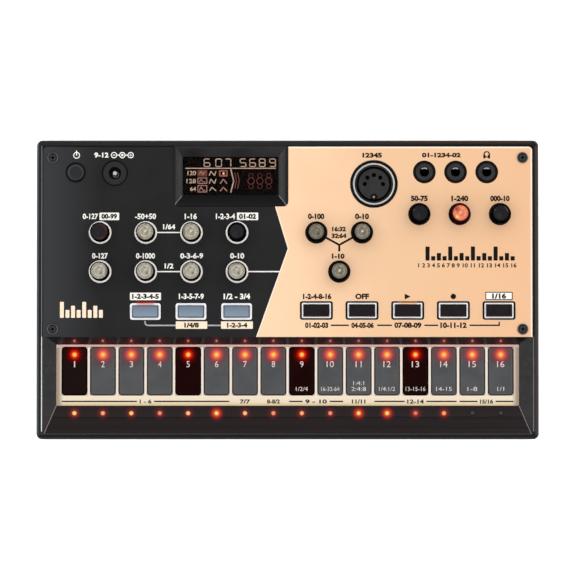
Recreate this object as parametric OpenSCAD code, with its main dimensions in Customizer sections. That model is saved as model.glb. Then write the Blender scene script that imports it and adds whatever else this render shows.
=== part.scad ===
// Palm-size drum machine, in millimetres. X runs along the front edge, Y from the front to the sockets
// and Z up. The origin is at the middle of the footprint, on the surface that the feet stand on.

/* [Case] */
// Overall width
case_w = 193; // [191:1:205]
// Overall depth
case_d = 115; // [114:1:122]
// Height of the two case halves together, without the feet
case_h = 28; // [28:0.5:32]
// Height of the lower half
lower_h = 12; // [11:0.5:13]
// Wall of both halves
wall = 2.1; // [1.9:0.1:2.4]
// Floor of the lower half
floor_t = 2; // [1.6:0.1:2.4]
// Deck under the faceplate
deck_t = 1.6; // [1.2:0.1:2]
// Radius of the corners in plan
corner_r = 2.2; // [1.8:0.1:3]
// Chamfer round the upper and lower edges
edge_c = 0.8; // [0.4:0.1:1.2]
// Height of the lip that locates the halves
lip_h = 2.2; // [1.5:0.1:3]
// Radius of the screw posts
post_r = 3.4; // [3.2:0.1:3.6]
// How far the feet stand proud
foot_h = 2; // [1:0.5:4]
// Radius of the feet
foot_r = 4.5; // [3.5:0.1:4.8]

/* [Faceplate] */
// Thickness of the faceplate
plate_t = 1; // [0.8:0.1:1.2]
// How far the faceplate lies below the rim
plate_drop = 0.2; // [0:0.1:0.4]
// Radius of its rear corners
plate_r = 1.5; // [0.5:0.1:2]
// Groove between the faceplate and the rims
plate_gap = 0.3; // [0.1:0.05:0.5]
// Faceplate screws from the side rims
screw_side = 4.05; // [3.8:0.05:4.4]
// Screws from the rear and front rims
screw_rear = 4.6; // [4.2:0.1:5]
// Front faceplate screws from the tray
screw_front = 3; // [2.6:0.1:3.4]

/* [Pads] */
// Space between two pads
pad_gap = 1.04; // [1:0.02:1.8]
// Length of a pad
pad_l = 18.7; // [17:0.1:19]
// Thickness of a pad
pad_t = 0.7; // [0.5:0.1:0.9]
// Depth of the pad plate
bar_d = 23.6; // [23:0.1:24.4]
// Thickness of the pad plate
bar_t = 1.5; // [1.3:0.1:1.8]
// Pad plate below the faceplate
bar_drop = 4.3; // [4:0.1:4.6]
// Run of the steep wall behind the pads
back_run = 2.8; // [2:0.1:3.2]
// Run of the slopes at the ends of the pads
side_run = 5.3; // [4.8:0.1:6]
// Run of the slope in front of the pads
front_run = 10.8; // [10:0.1:12]
// Shell of the tray
tray_t = 1.4; // [1.2:0.1:1.6]
// Radius of the pad lights and the step lights
lamp_r = 0.9; // [0.6:0.05:1]
// Thickness of the touch board
touch_t = 1.2; // [0.8:0.1:1.2]

/* [Knobs] */
// Radius of a knob
knob_r = 3.55; // [3.3:0.05:3.7]
// Height of a knob above the faceplate
knob_h = 9.2; // [7:0.1:12]
// Radius of a knob's shaft
shaft_r = 3; // [2.5:0.1:3.1]
// Width of a pot housing
pot_w = 9; // [8:0.1:9.4]
// Depth of a pot housing
pot_d = 11; // [9.5:0.1:11.4]
// Height of a pot housing
pot_h = 6.8; // [6.4:0.1:7.2]

/* [Buttons] */
// Width of a button cap
cap_w = 9.9; // [9:0.1:10.4]
// Depth of a button cap
cap_d = 4.5; // [4:0.1:5]
// Height of a button cap above the faceplate
cap_h = 1.8; // [1.2:0.1:3]
// Travel of a button
key_travel = 0.8; // [0.5:0.1:1]
// Side of a key switch
key_w = 6; // [5:0.1:6.4]
// Height of a key switch
key_h = 3.5; // [3:0.1:3.8]
// Radius of the power button
power_r = 3.2; // [2.8:0.1:3.4]
// Height of the power button above the faceplate
power_h = 1.6; // [1.2:0.1:3]
// Travel of the power button
power_travel = 1.5; // [1:0.1:1.6]

/* [Display] */
// Width of the bezel
bezel_w = 44; // [43:0.1:45]
// Depth of the bezel
bezel_d = 23.3; // [22.5:0.1:23.6]
// Left edge of the bezel, from the middle
bezel_x0 = -43.8; // [-44.5:0.1:-43]
// Height of the bezel above the faceplate
bezel_h = 0.3; // [0.1:0.1:1]
// Radius of the bezel's near corners
bezel_r = 1.9; // [0.5:0.1:2.1]
// Width of the window
window_w = 37; // [35:0.1:38]
// Depth of the window
window_d = 14.8; // [13:0.1:15.5]
// Thickness of the lens
lens_t = 1; // [0.8:0.1:1.2]
// Thickness of the display glass
glass_t = 1.4; // [1.2:0.1:1.8]

/* [Sockets] */
// Bore of the three small sockets
jack_bore_r = 1.8; // [1.8:0.05:1.85]
// Depth of their bores
jack_bore_l = 14.2; // [14:0.1:14.4]
// Radius of their collars
jack_r = 4.3; // [4:0.1:4.4]
// Bore of the power inlet
inlet_bore_r = 2.4; // [2.3:0.05:2.8]
// Radius of its centre pin
inlet_pin_r = 0.825; // [0.8:0.025:1.05]
// Radius of its collar
inlet_r = 4.9; // [4.5:0.1:5]
// Radius of the round socket's collar
din_r = 9.1; // [8.9:0.1:9.3]
// Outer radius of its metal shell
din_shell_r = 8.1; // [8:0.05:8.2]
// Wall of its metal shell
din_shell_t = 0.7; // [0.5:0.05:0.8]

/* [Battery bay] */
// Radius of a cell
cell_r = 7.25; // [7.1:0.05:7.25]
// Length of a cell
cell_l = 50.5; // [50:0.1:50.5]
// Thickness of the battery cover
cover_t = 2.2; // [1.8:0.1:2.4]

/* [Speaker] */
// Radius of the speaker
speaker_r = 16; // [14:0.5:17]
// Height of the speaker
speaker_h = 9; // [8:0.5:10]
// Middle of the speaker along X
speaker_x = -52; // [-56:1:-46]
// Middle of the speaker along Y
speaker_y = 6; // [0:1:12]

/* [Hidden] */
$fn = 48;
eps = 0.01;
run_gap = 0.05;   // between a shaft and its bore
fit_gap = 0.1;    // between pieces that are fixed together
slide_gap = 0.15; // between a moving piece and its opening
seat_gap = 0.3;   // between pieces on different bodies
side = [-1, 1];

// Levels
z_floor = foot_h;
z_inside = z_floor + floor_t;
z_split = z_floor + lower_h;
z_rim = z_floor + case_h;
z_plate = z_rim - plate_drop;
z_deck = z_plate - plate_t;
z_under = z_deck - deck_t;
z_bar = z_plate - bar_drop;
z_bar_seat = z_bar - bar_t;
z_tray = z_bar_seat - tray_t;
z_pad_seat = z_bar - 0.6;

// Plan
x_in = case_w / 2 - wall;
y_back = case_d / 2 - wall;
y_front = -y_back;
bar_y0 = y_front + front_run;
bar_y1 = bar_y0 + bar_d;
plate_y = bar_y1 + back_run;
bar_x = x_in - side_run;
bar_end = 1.58;
pad_pitch = (bar_x - bar_end) / 8;
pad_w = pad_pitch - pad_gap;
pad_y1 = bar_y1 - 0.9;
pad_y0 = pad_y1 - pad_l;
lamp_y = pad_y1 - 3;
step_y = bar_y0 - 2.85;
lamp_hole_r = lamp_r + fit_gap;
lamp_sink = 0.2;

// The panel is laid out for a case 193 wide with a faceplate 73.6 deep, and its places follow both
fit_x = case_w / 193;
fit_y = (y_back - plate_y) / 73.6;
function px(x) = x * fit_x;
function py(d) = y_back - d * fit_y;

// Slopes of the tray
front_slope = (z_rim - z_bar) / (bar_y0 - y_front);
side_slope = (z_rim - z_bar) / (x_in - bar_x);
back_slope = (z_deck - z_bar) / back_run;
function front_z(y) = z_bar + (bar_y0 - y) * front_slope;
function thick_h(slope) = tray_t / sin(atan(slope)); // the shell's thickness along the level
function thick_v(slope) = tray_t / cos(atan(slope)); // the shell's thickness upright

// Screws and posts
post_x = x_in - screw_side;
posts_rear = [for (s = side) [s * post_x, y_back - screw_rear]];
posts_mid = [for (s = side) [s * post_x, plate_y + screw_front]];
front_post_x = x_in - 6.4;
posts_front = [for (s = side) [s * front_post_x, y_front + screw_rear]];
posts_plate = concat(posts_rear, posts_mid);
posts = concat(posts_plate, posts_front);
post_gap = 0.2;
post_clear = 0.4; // between a post and the lip
lip_t = 1;
rib_t = 3;
screw_r = 1.4;
recess_w = 0.6;
screw_head_r = 2.5;
screw_clear = 0.4;
lower_post_r = post_r + 0.2;
screw_head_h = 1.8;
screw_sink = 6;     // how deep the case screws' heads sit
screw_reach = 8;    // how far they reach into the upper posts
plate_screw_r = 1.2;
plate_head_r = 2.1;
plate_head_h = 1.1;
plate_dome_h = 0.5;
z_head = z_plate + plate_head_h;
plate_screw_l = 5;
board_screw_r = 0.95;
board_hole_r = board_screw_r + 0.15;
board_head_r = 2;
board_head_h = 1.4;
board_screw_l = 5;
boss_r = 2.2;

// Control board
board_t = 1.6;
pot_gap = 0.6;
z_pot = z_under - pot_gap;
z_control = z_pot - pot_h;
z_control_low = z_control - board_t;
board_x = x_in - 6.2;
control_y0 = plate_y + 0.7;
row1_y = py(33.4);
row2_y = py(48.45);
trio_y = py(26.3);
control_y1 = row1_y + pot_d / 2 + 2;
control_wing_y = trio_y + pot_d / 2 + 0.4;
control_wing_x = px(44.5);
boss_rear_y = py(31.4);
boss_mid_y = py(55.4);
boss_right_y = py(41.4);
control_bosses = [[px(-81.5), boss_rear_y], [px(-81.5), boss_mid_y], [px(-4), boss_rear_y],
    [px(-4), boss_mid_y], [px(58), boss_right_y], [px(81), boss_right_y]];

// Chips under the board: X, Y and side
CHIPS = [[px(-63), py(41.4), 10], [px(-26), py(40.4), 10], [px(4), py(51.4), 9],
    [px(34), py(47.4), 14], [px(70), py(55.4), 8]];
chip_t = 1.2;

// Ribbon cables from the touch board and to the jack board, and their plugs
touch_cable_w = 16;
jack_cable_w = 12;
jack_cable_x = px(11);
jack_cable_y = control_y1 - 4.6;
ribbon_t = 0.3;
plug_over = 2;
plug_d = 3.4;
plug_t = 1.6;
plug_y = 2.1;

// Knobs: name, X, Y, and where the pointer rests in degrees clockwise from the rear
KNOBS = [
    ["part_level_knob", px(-72.1), row1_y, 110], ["lfo_amount_knob", px(-54.55), row1_y, -135],
    ["lfo_rate_knob", px(-37), row1_y, -90], ["select_knob", px(-19.45), row1_y, 145],
    ["pitch_knob", px(-72.1), row2_y, 90], ["attack_knob", px(-54.55), row2_y, 90],
    ["release_knob", px(-37), row2_y, -45], ["send_knob", px(-19.45), row2_y, 0],
    ["drum_decay_knob", px(11.05), row1_y, 90], ["drum_body_knob", px(28.6), row1_y, -90],
    ["drum_tune_knob", px(19.85), row2_y, 0], ["swing_knob", px(50.65), trio_y, -45],
    ["tempo_knob", px(66.15), trio_y, -135], ["volume_knob", px(81.65), trio_y, 60]
];
knob_top = z_plate + knob_h;
knob_foot = z_pot + seat_gap;
knob_edge = 0.45;
knob_hole_r = knob_r + slide_gap;
pot_floor = 0.5;
facet_angle = 62;
facet_run = 1.2;

// Buttons: name, X, Y
left_keys_y = py(63.8);
right_keys_y = py(63.4);
BUTTONS = [
    ["edit_button", px(-54.7), left_keys_y], ["active_step_button", px(-37.15), left_keys_y],
    ["layer_button", px(-19.6), left_keys_y], ["step_jump_button", px(11.05), right_keys_y],
    ["mute_button", px(28.6), right_keys_y], ["play_button", px(46.15), right_keys_y],
    ["record_button", px(63.7), right_keys_y], ["function_button", px(81.25), right_keys_y]
];
cap_gap = 0.2;
flange_lip = 1;
flange_t = 1.5;
z_flange = z_under - seat_gap;
stem_r = 1.6;
key_floor = 0.8;
key_lamp = [1.6, 1.2, 1];
key_lamp_x = 4.4;

// Jack board
z_jack = z_under - 12.2;
jack_board_y0 = y_back - 25.4;
jack_board_y1 = y_back - 1.6;
jack_bosses = [[px(-74.4), py(21.4)], [px(-56), py(6.4)], [px(12), py(6.4)], [px(83.8), py(16.6)]];
jack_y = py(10.1);
jack_xs = [px(52.6), px(64.6), px(76.6)];
jack_w = 8.4;
jack_d = 10.4;
jack_nose_r = 3.3;
z_jack_nose = z_plate + 0.1;
z_jack_collar = z_plate - 0.4;
z_body = z_under - 0.4; // top of the socket bodies
inlet_x = px(-66.5);
inlet_y = py(10.5);
inlet_w = 10.4;
inlet_d = 14;
inlet_bore_l = 11;
inlet_pin_l = 10.4;
inlet_root_r = 1.2;
z_inlet = z_plate - 0.5;
din_x = px(33.2);
din_y = py(14.7);
din_w = 20;
din_depth = 9;
din_core_r = 5.9;
din_plug_gap = 0.9;
din_pin_r = 0.8;
din_pin_circle = 3.5;
din_key_r = 1.05; // notch that guides the plug
din_key_y = -4.95;
din_key_depth = 2.5;
din_contact_r = 0.5; // contact that stands in the notch
z_din = z_plate + 0.4;
z_din_face = z_plate - 1.2;
power_x = px(-81.5);
power_y = py(10.3);
power_w = 8.5;
power_body_h = 8.2;
power_floor = 2;
power_rod_r = 1.3;
power_ring = 0.7;
power_flange_r = power_r + power_ring + 0.5;

// Display
bezel_x1 = bezel_x0 + bezel_w;
bezel_y1 = y_back;
bezel_y0 = bezel_y1 - bezel_d;
bezel_rim = 1;
bezel_seat = 0.9;
window_x0 = bezel_x0 + (bezel_w - window_w) / 2 - 0.2;
window_y0 = bezel_y0 + bezel_d - window_d - 4.1;
z_bezel = z_plate + bezel_h;
z_bezel_foot = z_under - 0.2;
z_lens = z_bezel_foot - lens_t;
z_glass = z_lens - glass_t;

// Touch board
z_touch = z_tray - fit_gap;
touch_x = front_post_x - post_r - 0.6;
touch_y0 = bar_y0 - 5.9;
touch_y1 = bar_y1 + 1.2;
touch_screws = [for (i = [-1.5:1:1.5]) [i * 4 * pad_pitch, pad_y0 + pad_l / 2]];
touch_head_h = 0.6;

// Battery bay
z_cover = z_floor + cover_t;
z_slot = z_cover + seat_gap;
cell_z = z_slot + cell_r;
z_ceiling = cell_z + cell_r + seat_gap;
ceiling_t = 1.2;
spring_l = 3.75;
tongue = 1.5;
bay_wall = 1.5;
bay_end = spring_l + tongue + bay_wall; // from the last cell to the outside of the bay
row_cells = floor(2 * (front_post_x - post_r - post_gap - bay_end) / cell_l);
bay_x = row_cells * cell_l / 2 + spring_l;
bay_y0 = y_front + 0.2;
cell_gap = 0.3;
nub_l = 1.2;
cell_y = [bay_y0 + cell_gap + cell_r, bay_y0 + 2 * cell_gap + 3 * cell_r];
bay_y1 = cell_y[1] + cell_r + cell_gap;
bay_back = 2.3;
cover_x = bay_x - 0.5;
tongue_t = 1;
z_tongue = z_cover - tongue_t;
cover_y1 = bay_y1 + seat_gap;
tongue_y1 = cover_y1 + 0.8;
catch_w = 60;
groove_w = 24;     // the finger grip's grooves
groove_pitch = 1.6;
bay_x_out = cover_x + tongue + seat_gap + bay_wall;
contact_t = 0.4;
contact_z0 = z_slot + 1;
contact_z1 = z_ceiling - 0.8;
tab_w = 3;
tab_z = cell_z + 1;
tab_y = [cell_y[0] + 3, cell_y[1]];
wire_r = 0.6;
spring_wire_r = 0.4;

// Feet, speaker
foot_x = x_in - 6.9;
foot_y = case_d / 2 - 17.5;
foot_seat = 0.5;
foot_edge = 0.4;
ring_t = 1.2;
ring_h = 2;
speaker_lip = 2.5;
magnet_r = speaker_r * 0.45;
magnet_h = 3.5;
grille_r = 0.9;
grille_pitch = 3.4;

// Routes of the hookup wires: from the speaker's middle, and from the left wall for the battery bay
speaker_route = [[14.6, 1.5, 4.2], [16.5, 1.5, 5.4], [18.5, 1.6, 8.5], [19.5, 1.8, 12], [19.5, 2, 14]];
bay_route = [[10.8, -42, 9], [10.4, -32, 8], [9.9, -16, 7], [9.9, 6, 7], [10.9, 24, 8]];

case_colour = "#2b2b2e";
board_colour = "#1f4a35";

// ---------- shared shapes ----------

module block(lo, hi) translate(lo) cube(hi - lo);

// Block of width w and depth d, centred on the Z axis
module centred_block(w, d, z0, z1) block([-w / 2, -d / 2, z0], [w / 2, d / 2, z1]);

// Block of width w, centred on x
module wide_block(x, w, y0, y1, z0, z1) block([x - w / 2, y0, z0], [x + w / 2, y1, z1]);

module rod(r, z0, z1) translate([0, 0, z0]) cylinder(r = r, h = z1 - z0);

module at(p) translate([p[0], p[1], 0]) children();

// Rounded rectangle, upright
module slab(lo, hi, r) hull()
    for (x = [lo[0] + r, hi[0] - r], y = [lo[1] + r, hi[1] - r])
        translate([x, y, 0]) rod(r, lo[2], hi[2], $fn = 32);

// Block with the case's outline, chamfered by c0 below and c1 above
module case_block(z0, z1, c0, c1) hull()
    for (x = side, y = side)
        translate([x * (case_w / 2 - corner_r), y * (case_d / 2 - corner_r), 0]) {
            rod(corner_r, z0 + c0, z1 - c1, $fn = 32);
            rod(corner_r - c0, z0, z1 - c1, $fn = 32);
            rod(corner_r - c1, z0 + c0, z1, $fn = 32);
        }

// Outline in X and Z, drawn along Y
module along_y(y0, y1) translate([0, y1, 0]) rotate([90, 0, 0])
    linear_extrude(height = y1 - y0) children();

// Outline in Y and Z, drawn along X
module along_x(x0, x1) translate([x0, 0, 0]) rotate([90, 0, 90])
    linear_extrude(height = x1 - x0) children();

// Cross recess of a screw head
module cross_recess(r, depth) for (a = [0, 90]) rotate(a)
    translate([-r, -recess_w / 2, 0]) cube([2 * r, recess_w, depth]);

// Tube through a list of points, with 8 sides
function unit(v) = v / norm(v);
function tangent(p, i) = unit(p[min(i + 1, len(p) - 1)] - p[max(i - 1, 0)]);
function across(n, t) = unit(n - (n * t) * t);
function normals(p) = [for (i = 0, n = across([1, 0.2, 0.1], tangent(p, 0)); i < len(p);
    i = i + 1, n = across(n, tangent(p, min(i, len(p) - 1)))) n];
function spline(p, t) = let (i = min(floor(t), len(p) - 2), f = t - i, a = p[max(i - 1, 0)], b = p[i],
    c = p[i + 1], d = p[min(i + 2, len(p) - 1)])
    b + 0.5 * f * (c - a + f * (2 * a - 5 * b + 4 * c - d + f * (3 * b - a - 3 * c + d)));

module tube(p, r) {
    sides = 8;
    last = len(p) - 1;
    n = normals(p);
    points = [for (i = [0:last], k = [0:sides - 1]) p[i]
        + r * (cos(k * 360 / sides) * n[i] + sin(k * 360 / sides) * cross(tangent(p, i), n[i]))];
    walls = [for (i = [0:last - 1], k = [0:sides - 1]) let (m = (k + 1) % sides)
        [i * sides + k, (i + 1) * sides + k, (i + 1) * sides + m, i * sides + m]];
    ends = [[for (k = [0:sides - 1]) k], [for (k = [sides - 1:-1:0]) last * sides + k]];
    polyhedron(points = points, faces = concat(walls, ends));
}

module wire(p) tube([for (t = [0:0.2:len(p) - 1]) spline(p, t)], wire_r);

// Openings for everything that comes up through the panel, each grown by g
module panel_openings(z0, z1, g) {
    for (k = KNOBS) at([k[1], k[2]]) rod(knob_hole_r + g, z0, z1);
    for (b = BUTTONS) at([b[1], b[2]])
        centred_block(cap_w + 2 * (cap_gap + g), cap_d + 2 * (cap_gap + g), z0, z1);
    for (x = jack_xs) at([x, jack_y]) rod(jack_r + fit_gap + g, z0, z1);
    at([inlet_x, inlet_y]) rod(inlet_r + fit_gap + g, z0, z1);
    at([din_x, din_y]) rod(din_r + fit_gap + g, z0, z1);
    at([power_x, power_y]) rod(power_r + power_ring, z0, z1);
}

// The hollow above the pad plate: two crossed outlines, so that the slopes meet in mitres
module tray_hollow() intersection() {
    along_y(y_front, plate_y) polygon([[-bar_x, z_bar], [bar_x, z_bar], [x_in, z_rim], [x_in, z_rim + 1],
        [-x_in, z_rim + 1], [-x_in, z_rim]]);
    along_x(-x_in, x_in) polygon([[bar_y0, z_bar], [bar_y1, z_bar], [plate_y, z_deck], [plate_y, z_rim + 1],
        [y_front, z_rim + 1], [y_front, z_rim]]);
}

// The same, with the shell's thickness outside it
module tray_shell() {
    top = z_under + 0.3;
    x0 = bar_x + thick_h(side_slope);
    y0 = bar_y0 - tray_t;
    y1 = bar_y1 + thick_h(back_slope);
    front_drop = thick_v(front_slope);
    intersection() {
        along_y(y_front, y_back) polygon([[-x0, z_tray], [x0, z_tray], [x0, z_bar],
            [x0 + (top - z_bar) / side_slope, top], [-x0 - (top - z_bar) / side_slope, top], [-x0, z_bar]]);
        along_x(-x_in, x_in) polygon([[y0, z_tray], [y1, z_tray], [y1, z_bar],
            [y1 + (top - z_bar) / back_slope, top],
            [bar_y0 - (top + front_drop - z_bar) / front_slope, top], [y0, front_z(y0) - front_drop]]);
    }
}

// ---------- case ----------

module upper_case() color(case_colour) difference() {
    union() {
        difference() {
            case_block(z_split, z_rim, 0, edge_c);
            block([-x_in, -y_back, z_split - 1], [x_in, y_back, z_under]);
        }
        tray_shell();
        for (p = posts) at(p) rod(post_r, z_split + post_gap, z_under + eps);
        for (p = posts_plate, s = sign(p[0]))
            block([min(p[0], s * (x_in + eps)), p[1] - rib_t / 2, z_split + post_gap],
                [max(p[0], s * (x_in + eps)), p[1] + rib_t / 2, z_under + eps]);
        for (p = control_bosses) at(p) rod(boss_r, z_control, z_under + eps);
        for (p = jack_bosses) at(p) rod(boss_r, z_jack, z_under + eps);
    }
    block([-x_in, plate_y, z_deck], [x_in, y_back, z_rim + 1]);
    tray_hollow();
    block([-bar_x - fit_gap, bar_y0 - fit_gap, z_bar_seat], [bar_x + fit_gap, bar_y1 + fit_gap, z_bar + eps]);
    panel_openings(z_under - 1, z_deck + 1, 0.1);
    block([bezel_x0 + bezel_seat - slide_gap, bezel_y0 + bezel_seat - slide_gap, z_under - 1],
        [bezel_x1 - bezel_seat + slide_gap, bezel_y1 - bezel_seat + slide_gap, z_deck + 1]);
    for (i = [-7.5:1:7.5]) translate([i * pad_pitch, 0, 0]) {
        translate([0, lamp_y, 0]) rod(lamp_hole_r, z_tray - 1, z_bar_seat + 1);
        translate([0, step_y, 0]) rod(lamp_hole_r, z_tray - 1, z_rim);
    }
    for (p = posts) at(p) rod(screw_r + run_gap, z_split - 1, z_split + screw_reach + 1);
    for (p = posts_plate) at(p)
        rod(plate_screw_r + run_gap, z_deck - plate_screw_l - 0.5, z_deck + 1);
    for (p = control_bosses) at(p)
        rod(board_screw_r + run_gap, z_control - 1, z_control + board_screw_l);
    for (p = jack_bosses) at(p) rod(board_screw_r + run_gap, z_jack - 1, z_jack + board_screw_l);
    for (p = touch_screws) at(p) rod(board_screw_r + run_gap, z_tray - 1, z_bar_seat - 0.2);
}

module locating_lip() {
    lip_x = x_in - slide_gap;
    lip_y = y_back - slide_gap;
    clear_r = post_r + post_clear;
    difference() {
        union() {
            block([-x_in - eps, -y_back - eps, z_split - 2], [x_in + eps, y_back + eps, z_split]);
            block([-lip_x, -lip_y, z_split - 1], [lip_x, lip_y, z_split + lip_h]);
        }
        block([-lip_x + lip_t, -lip_y + lip_t, z_inside], [lip_x - lip_t, lip_y - lip_t, z_rim]);
        block([-bay_x_out, -y_back - 1, z_inside], [bay_x_out, 0, z_rim]);
        for (p = posts_plate, s = sign(p[0])) {
            near = p[0] - s * clear_r;
            far = s * (x_in + 1);
            block([min(near, far), p[1] - clear_r, z_split], [max(near, far), p[1] + clear_r, z_rim]);
        }
        for (p = posts) at(p) rod(clear_r, z_split, z_rim);
    }
}

// The space that the battery cover slides in, with gap g round the cover itself
module cover_form(g) {
    y0 = -case_d / 2 - 1;
    block([-cover_x - g, y0, z_floor - 1], [cover_x + g, cover_y1 + g, z_cover + g]);
    block([-cover_x - tongue - g, y0, z_tongue - g],
        [cover_x + tongue + g, tongue_y1 + g, z_cover + g]);
}

module lower_case() color(case_colour) difference() {
    union() {
        difference() {
            case_block(z_floor, z_split, edge_c, 0);
            block([-x_in, -y_back, z_inside], [x_in, y_back, z_split + 1]);
        }
        locating_lip();
        block([-bay_x_out, y_front - eps, z_inside - eps], [bay_x_out, bay_y1 + bay_back, z_split]);
        block([-bay_x_out, bay_y0, z_split - eps], [bay_x_out, bay_y1 + bay_back, z_ceiling + ceiling_t]);
        for (p = posts) at(p) rod(lower_post_r, z_inside - eps, z_split);
        at([speaker_x, speaker_y]) difference() {
            rod(speaker_r + fit_gap + ring_t, z_inside - eps, z_inside + ring_h);
            rod(speaker_r + fit_gap, z_inside - 1, z_inside + ring_h + 1);
        }
    }
    cover_form(seat_gap);
    block([-bay_x, bay_y0 - eps, z_cover], [bay_x, bay_y1, z_ceiling]);
    for (y = tab_y)
        block([-bay_x_out - 1, y - tab_w / 2 - fit_gap, tab_z - fit_gap],
            [-bay_x + 1, y + tab_w / 2 + fit_gap, tab_z + contact_t + fit_gap]);
    for (p = posts) at(p) {
        rod(screw_head_r + screw_clear, z_floor - 1, z_floor + screw_sink);
        rod(screw_r + screw_clear / 2, z_floor, z_split + 1);
    }
    for (x = side, y = side) at([x * foot_x, y * foot_y])
        rod(foot_r + fit_gap, z_floor - 1, z_floor + foot_seat);
    at([speaker_x, speaker_y]) {
        rod(grille_r, z_floor - 1, z_inside + 1);
        for (ring = [1:3], a = [0:60 / ring:359])
            rotate(a) translate([ring * grille_pitch, 0, 0]) rod(grille_r, z_floor - 1, z_inside + 1);
    }
}

module battery_cover() color(case_colour) difference() {
    union() {
        intersection() {
            case_block(z_floor, z_split, edge_c, 0);
            cover_form(0);
        }
        wide_block(0, catch_w, y_front + 2, y_front + 3, z_cover - eps, z_cover + 0.2);
    }
    for (i = [0:4]) translate([0, y_front + 4 + i * groove_pitch, 0])
        wide_block(0, groove_w, 0, groove_pitch / 2, z_floor - 1, z_floor + 0.5);
}

module rubber_feet() color("#161616")
    for (x = side, y = side) at([x * foot_x, y * foot_y]) {
        rod(foot_r - foot_edge, 0, foot_edge);
        rod(foot_r, foot_edge - eps, z_floor + foot_seat);
    }

module case_screws() color("#3a3a3d") for (p = posts) at(p) difference() {
    union() {
        rod(screw_head_r, z_floor + screw_sink - screw_head_h, z_floor + screw_sink);
        rod(screw_r, z_floor + screw_sink - eps, z_split + screw_reach);
    }
    translate([0, 0, z_floor + screw_sink - screw_head_h - eps]) cross_recess(1.5, 0.9);
}

// ---------- faceplate ----------

module faceplate() color("#f7c9a0") difference() {
    slab([-x_in + plate_gap, plate_y - plate_r, z_deck], [x_in - plate_gap, y_back - plate_gap, z_plate], plate_r);
    block([-x_in, plate_y - plate_r - 1, z_deck - 1], [x_in, plate_y, z_plate + 1]);
    panel_openings(z_deck - 1, z_plate + 1, 0);
    bezel_outline(fit_gap, z_deck - 1, z_plate + 1);
    for (p = posts_plate) at(p) rod(plate_screw_r + 0.3, z_deck - 1, z_plate + 1);
}

module faceplate_screws() color("#1d1d1f") for (p = posts_plate) at(p) difference() {
    union() {
        rod(plate_head_r, z_plate, z_head - plate_dome_h);
        translate([0, 0, z_head - plate_dome_h - eps])
            cylinder(r1 = plate_head_r, r2 = plate_head_r - 0.7, h = plate_dome_h);
        rod(plate_screw_r, z_deck - plate_screw_l, z_plate + eps);
    }
    translate([0, 0, z_head - 0.8]) cross_recess(1.2, 1);
}

// ---------- pads ----------

module pad_plate() color("#d8c3aa") difference() {
    block([-bar_x, bar_y0, z_bar_seat], [bar_x, bar_y1, z_bar]);
    for (i = [-7.5:1:7.5]) translate([i * pad_pitch, 0, 0]) {
        block([-pad_w / 2 - fit_gap, pad_y0 - fit_gap, z_pad_seat],
            [pad_w / 2 + fit_gap, pad_y1 + fit_gap, z_bar + 1]);
        translate([0, lamp_y, 0]) rod(lamp_hole_r, z_bar_seat - 1, z_bar);
    }
}

module pad(i) translate([(i - 7.5) * pad_pitch, 0, 0]) difference() {
    block([-pad_w / 2, pad_y0, z_pad_seat], [pad_w / 2, pad_y1, z_pad_seat + pad_t]);
    translate([0, lamp_y, 0]) rod(lamp_hole_r, z_bar - 1, z_bar + 1);
}

module grey_pads() color("#57585b") for (i = [0:15]) if (i % 4 != 0) pad(i);

module dark_pads() color("#24170f") for (i = [0:4:15]) pad(i);

module touch_board() color(board_colour) difference() {
    block([-touch_x, touch_y0, z_touch - touch_t], [touch_x, touch_y1, z_touch]);
    for (p = touch_screws) at(p) rod(board_hole_r, z_touch - touch_t - 1, z_touch + 1);
}

// A row of sixteen lamps that stand on the touch board
module lamp_row(y, top) for (i = [-7.5:1:7.5])
    translate([i * pad_pitch, y, 0]) rod(lamp_r, z_touch, top);

module pad_lamps() color("#ff5a28") lamp_row(lamp_y, z_bar - lamp_sink);

module step_lamps() color("#ff5a28") lamp_row(step_y, front_z(step_y) - lamp_sink);

// ---------- control board ----------

module post_clearance() for (p = posts) at(p) rod(post_r + 0.5, 0, z_rim);

module control_board() color(board_colour) difference() {
    union() {
        block([-board_x, control_y0, z_control_low], [board_x, control_y1, z_control]);
        block([bezel_x0, control_y1 - eps, z_control_low], [bezel_x1, y_back - 0.8, z_control]);
        block([control_wing_x, control_y1 - eps, z_control_low], [board_x, control_wing_y, z_control]);
    }
    post_clearance();
    for (p = control_bosses) at(p) rod(board_hole_r, z_control_low - 1, z_control + 1);
}

// Chips under the control board, and the connectors of the ribbons
module board_parts() color("#1a1a1a") {
    for (c = CHIPS) at([c[0], c[1]]) centred_block(c[2], c[2], z_control_low - chip_t, z_control_low);
    wide_block(0, touch_cable_w + plug_over, control_y0 + plug_y, control_y0 + plug_y + plug_d,
        z_control, z_control + plug_t + 0.4);
    wide_block(jack_cable_x, jack_cable_w + plug_over, jack_cable_y - plug_d, jack_cable_y,
        z_control_low - plug_t, z_control_low);
    wide_block(jack_cable_x, jack_cable_w + plug_over, jack_board_y0 + 4, jack_board_y0 + 4 + plug_d,
        z_jack, z_jack + plug_t);
}

module pot_housings() color("#3d4a63") for (k = KNOBS) at([k[1], k[2]]) difference() {
    centred_block(pot_w, pot_d, z_control, z_pot);
    rod(shaft_r + run_gap, z_control + pot_floor, z_pot + 1);
}

module key_switches() color("#202020") for (b = BUTTONS) at([b[1], b[2]]) difference() {
    centred_block(key_w, key_w, z_control, z_control + key_h);
    rod(stem_r + slide_gap, z_control + key_floor, z_control + key_h + 1);
}

module key_lamps() color("#ff4a20") for (b = BUTTONS) at([b[1] - key_lamp_x, b[2]])
    centred_block(key_lamp[0], key_lamp[1], z_control, z_control + key_lamp[2]);

// ---------- display ----------

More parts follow.
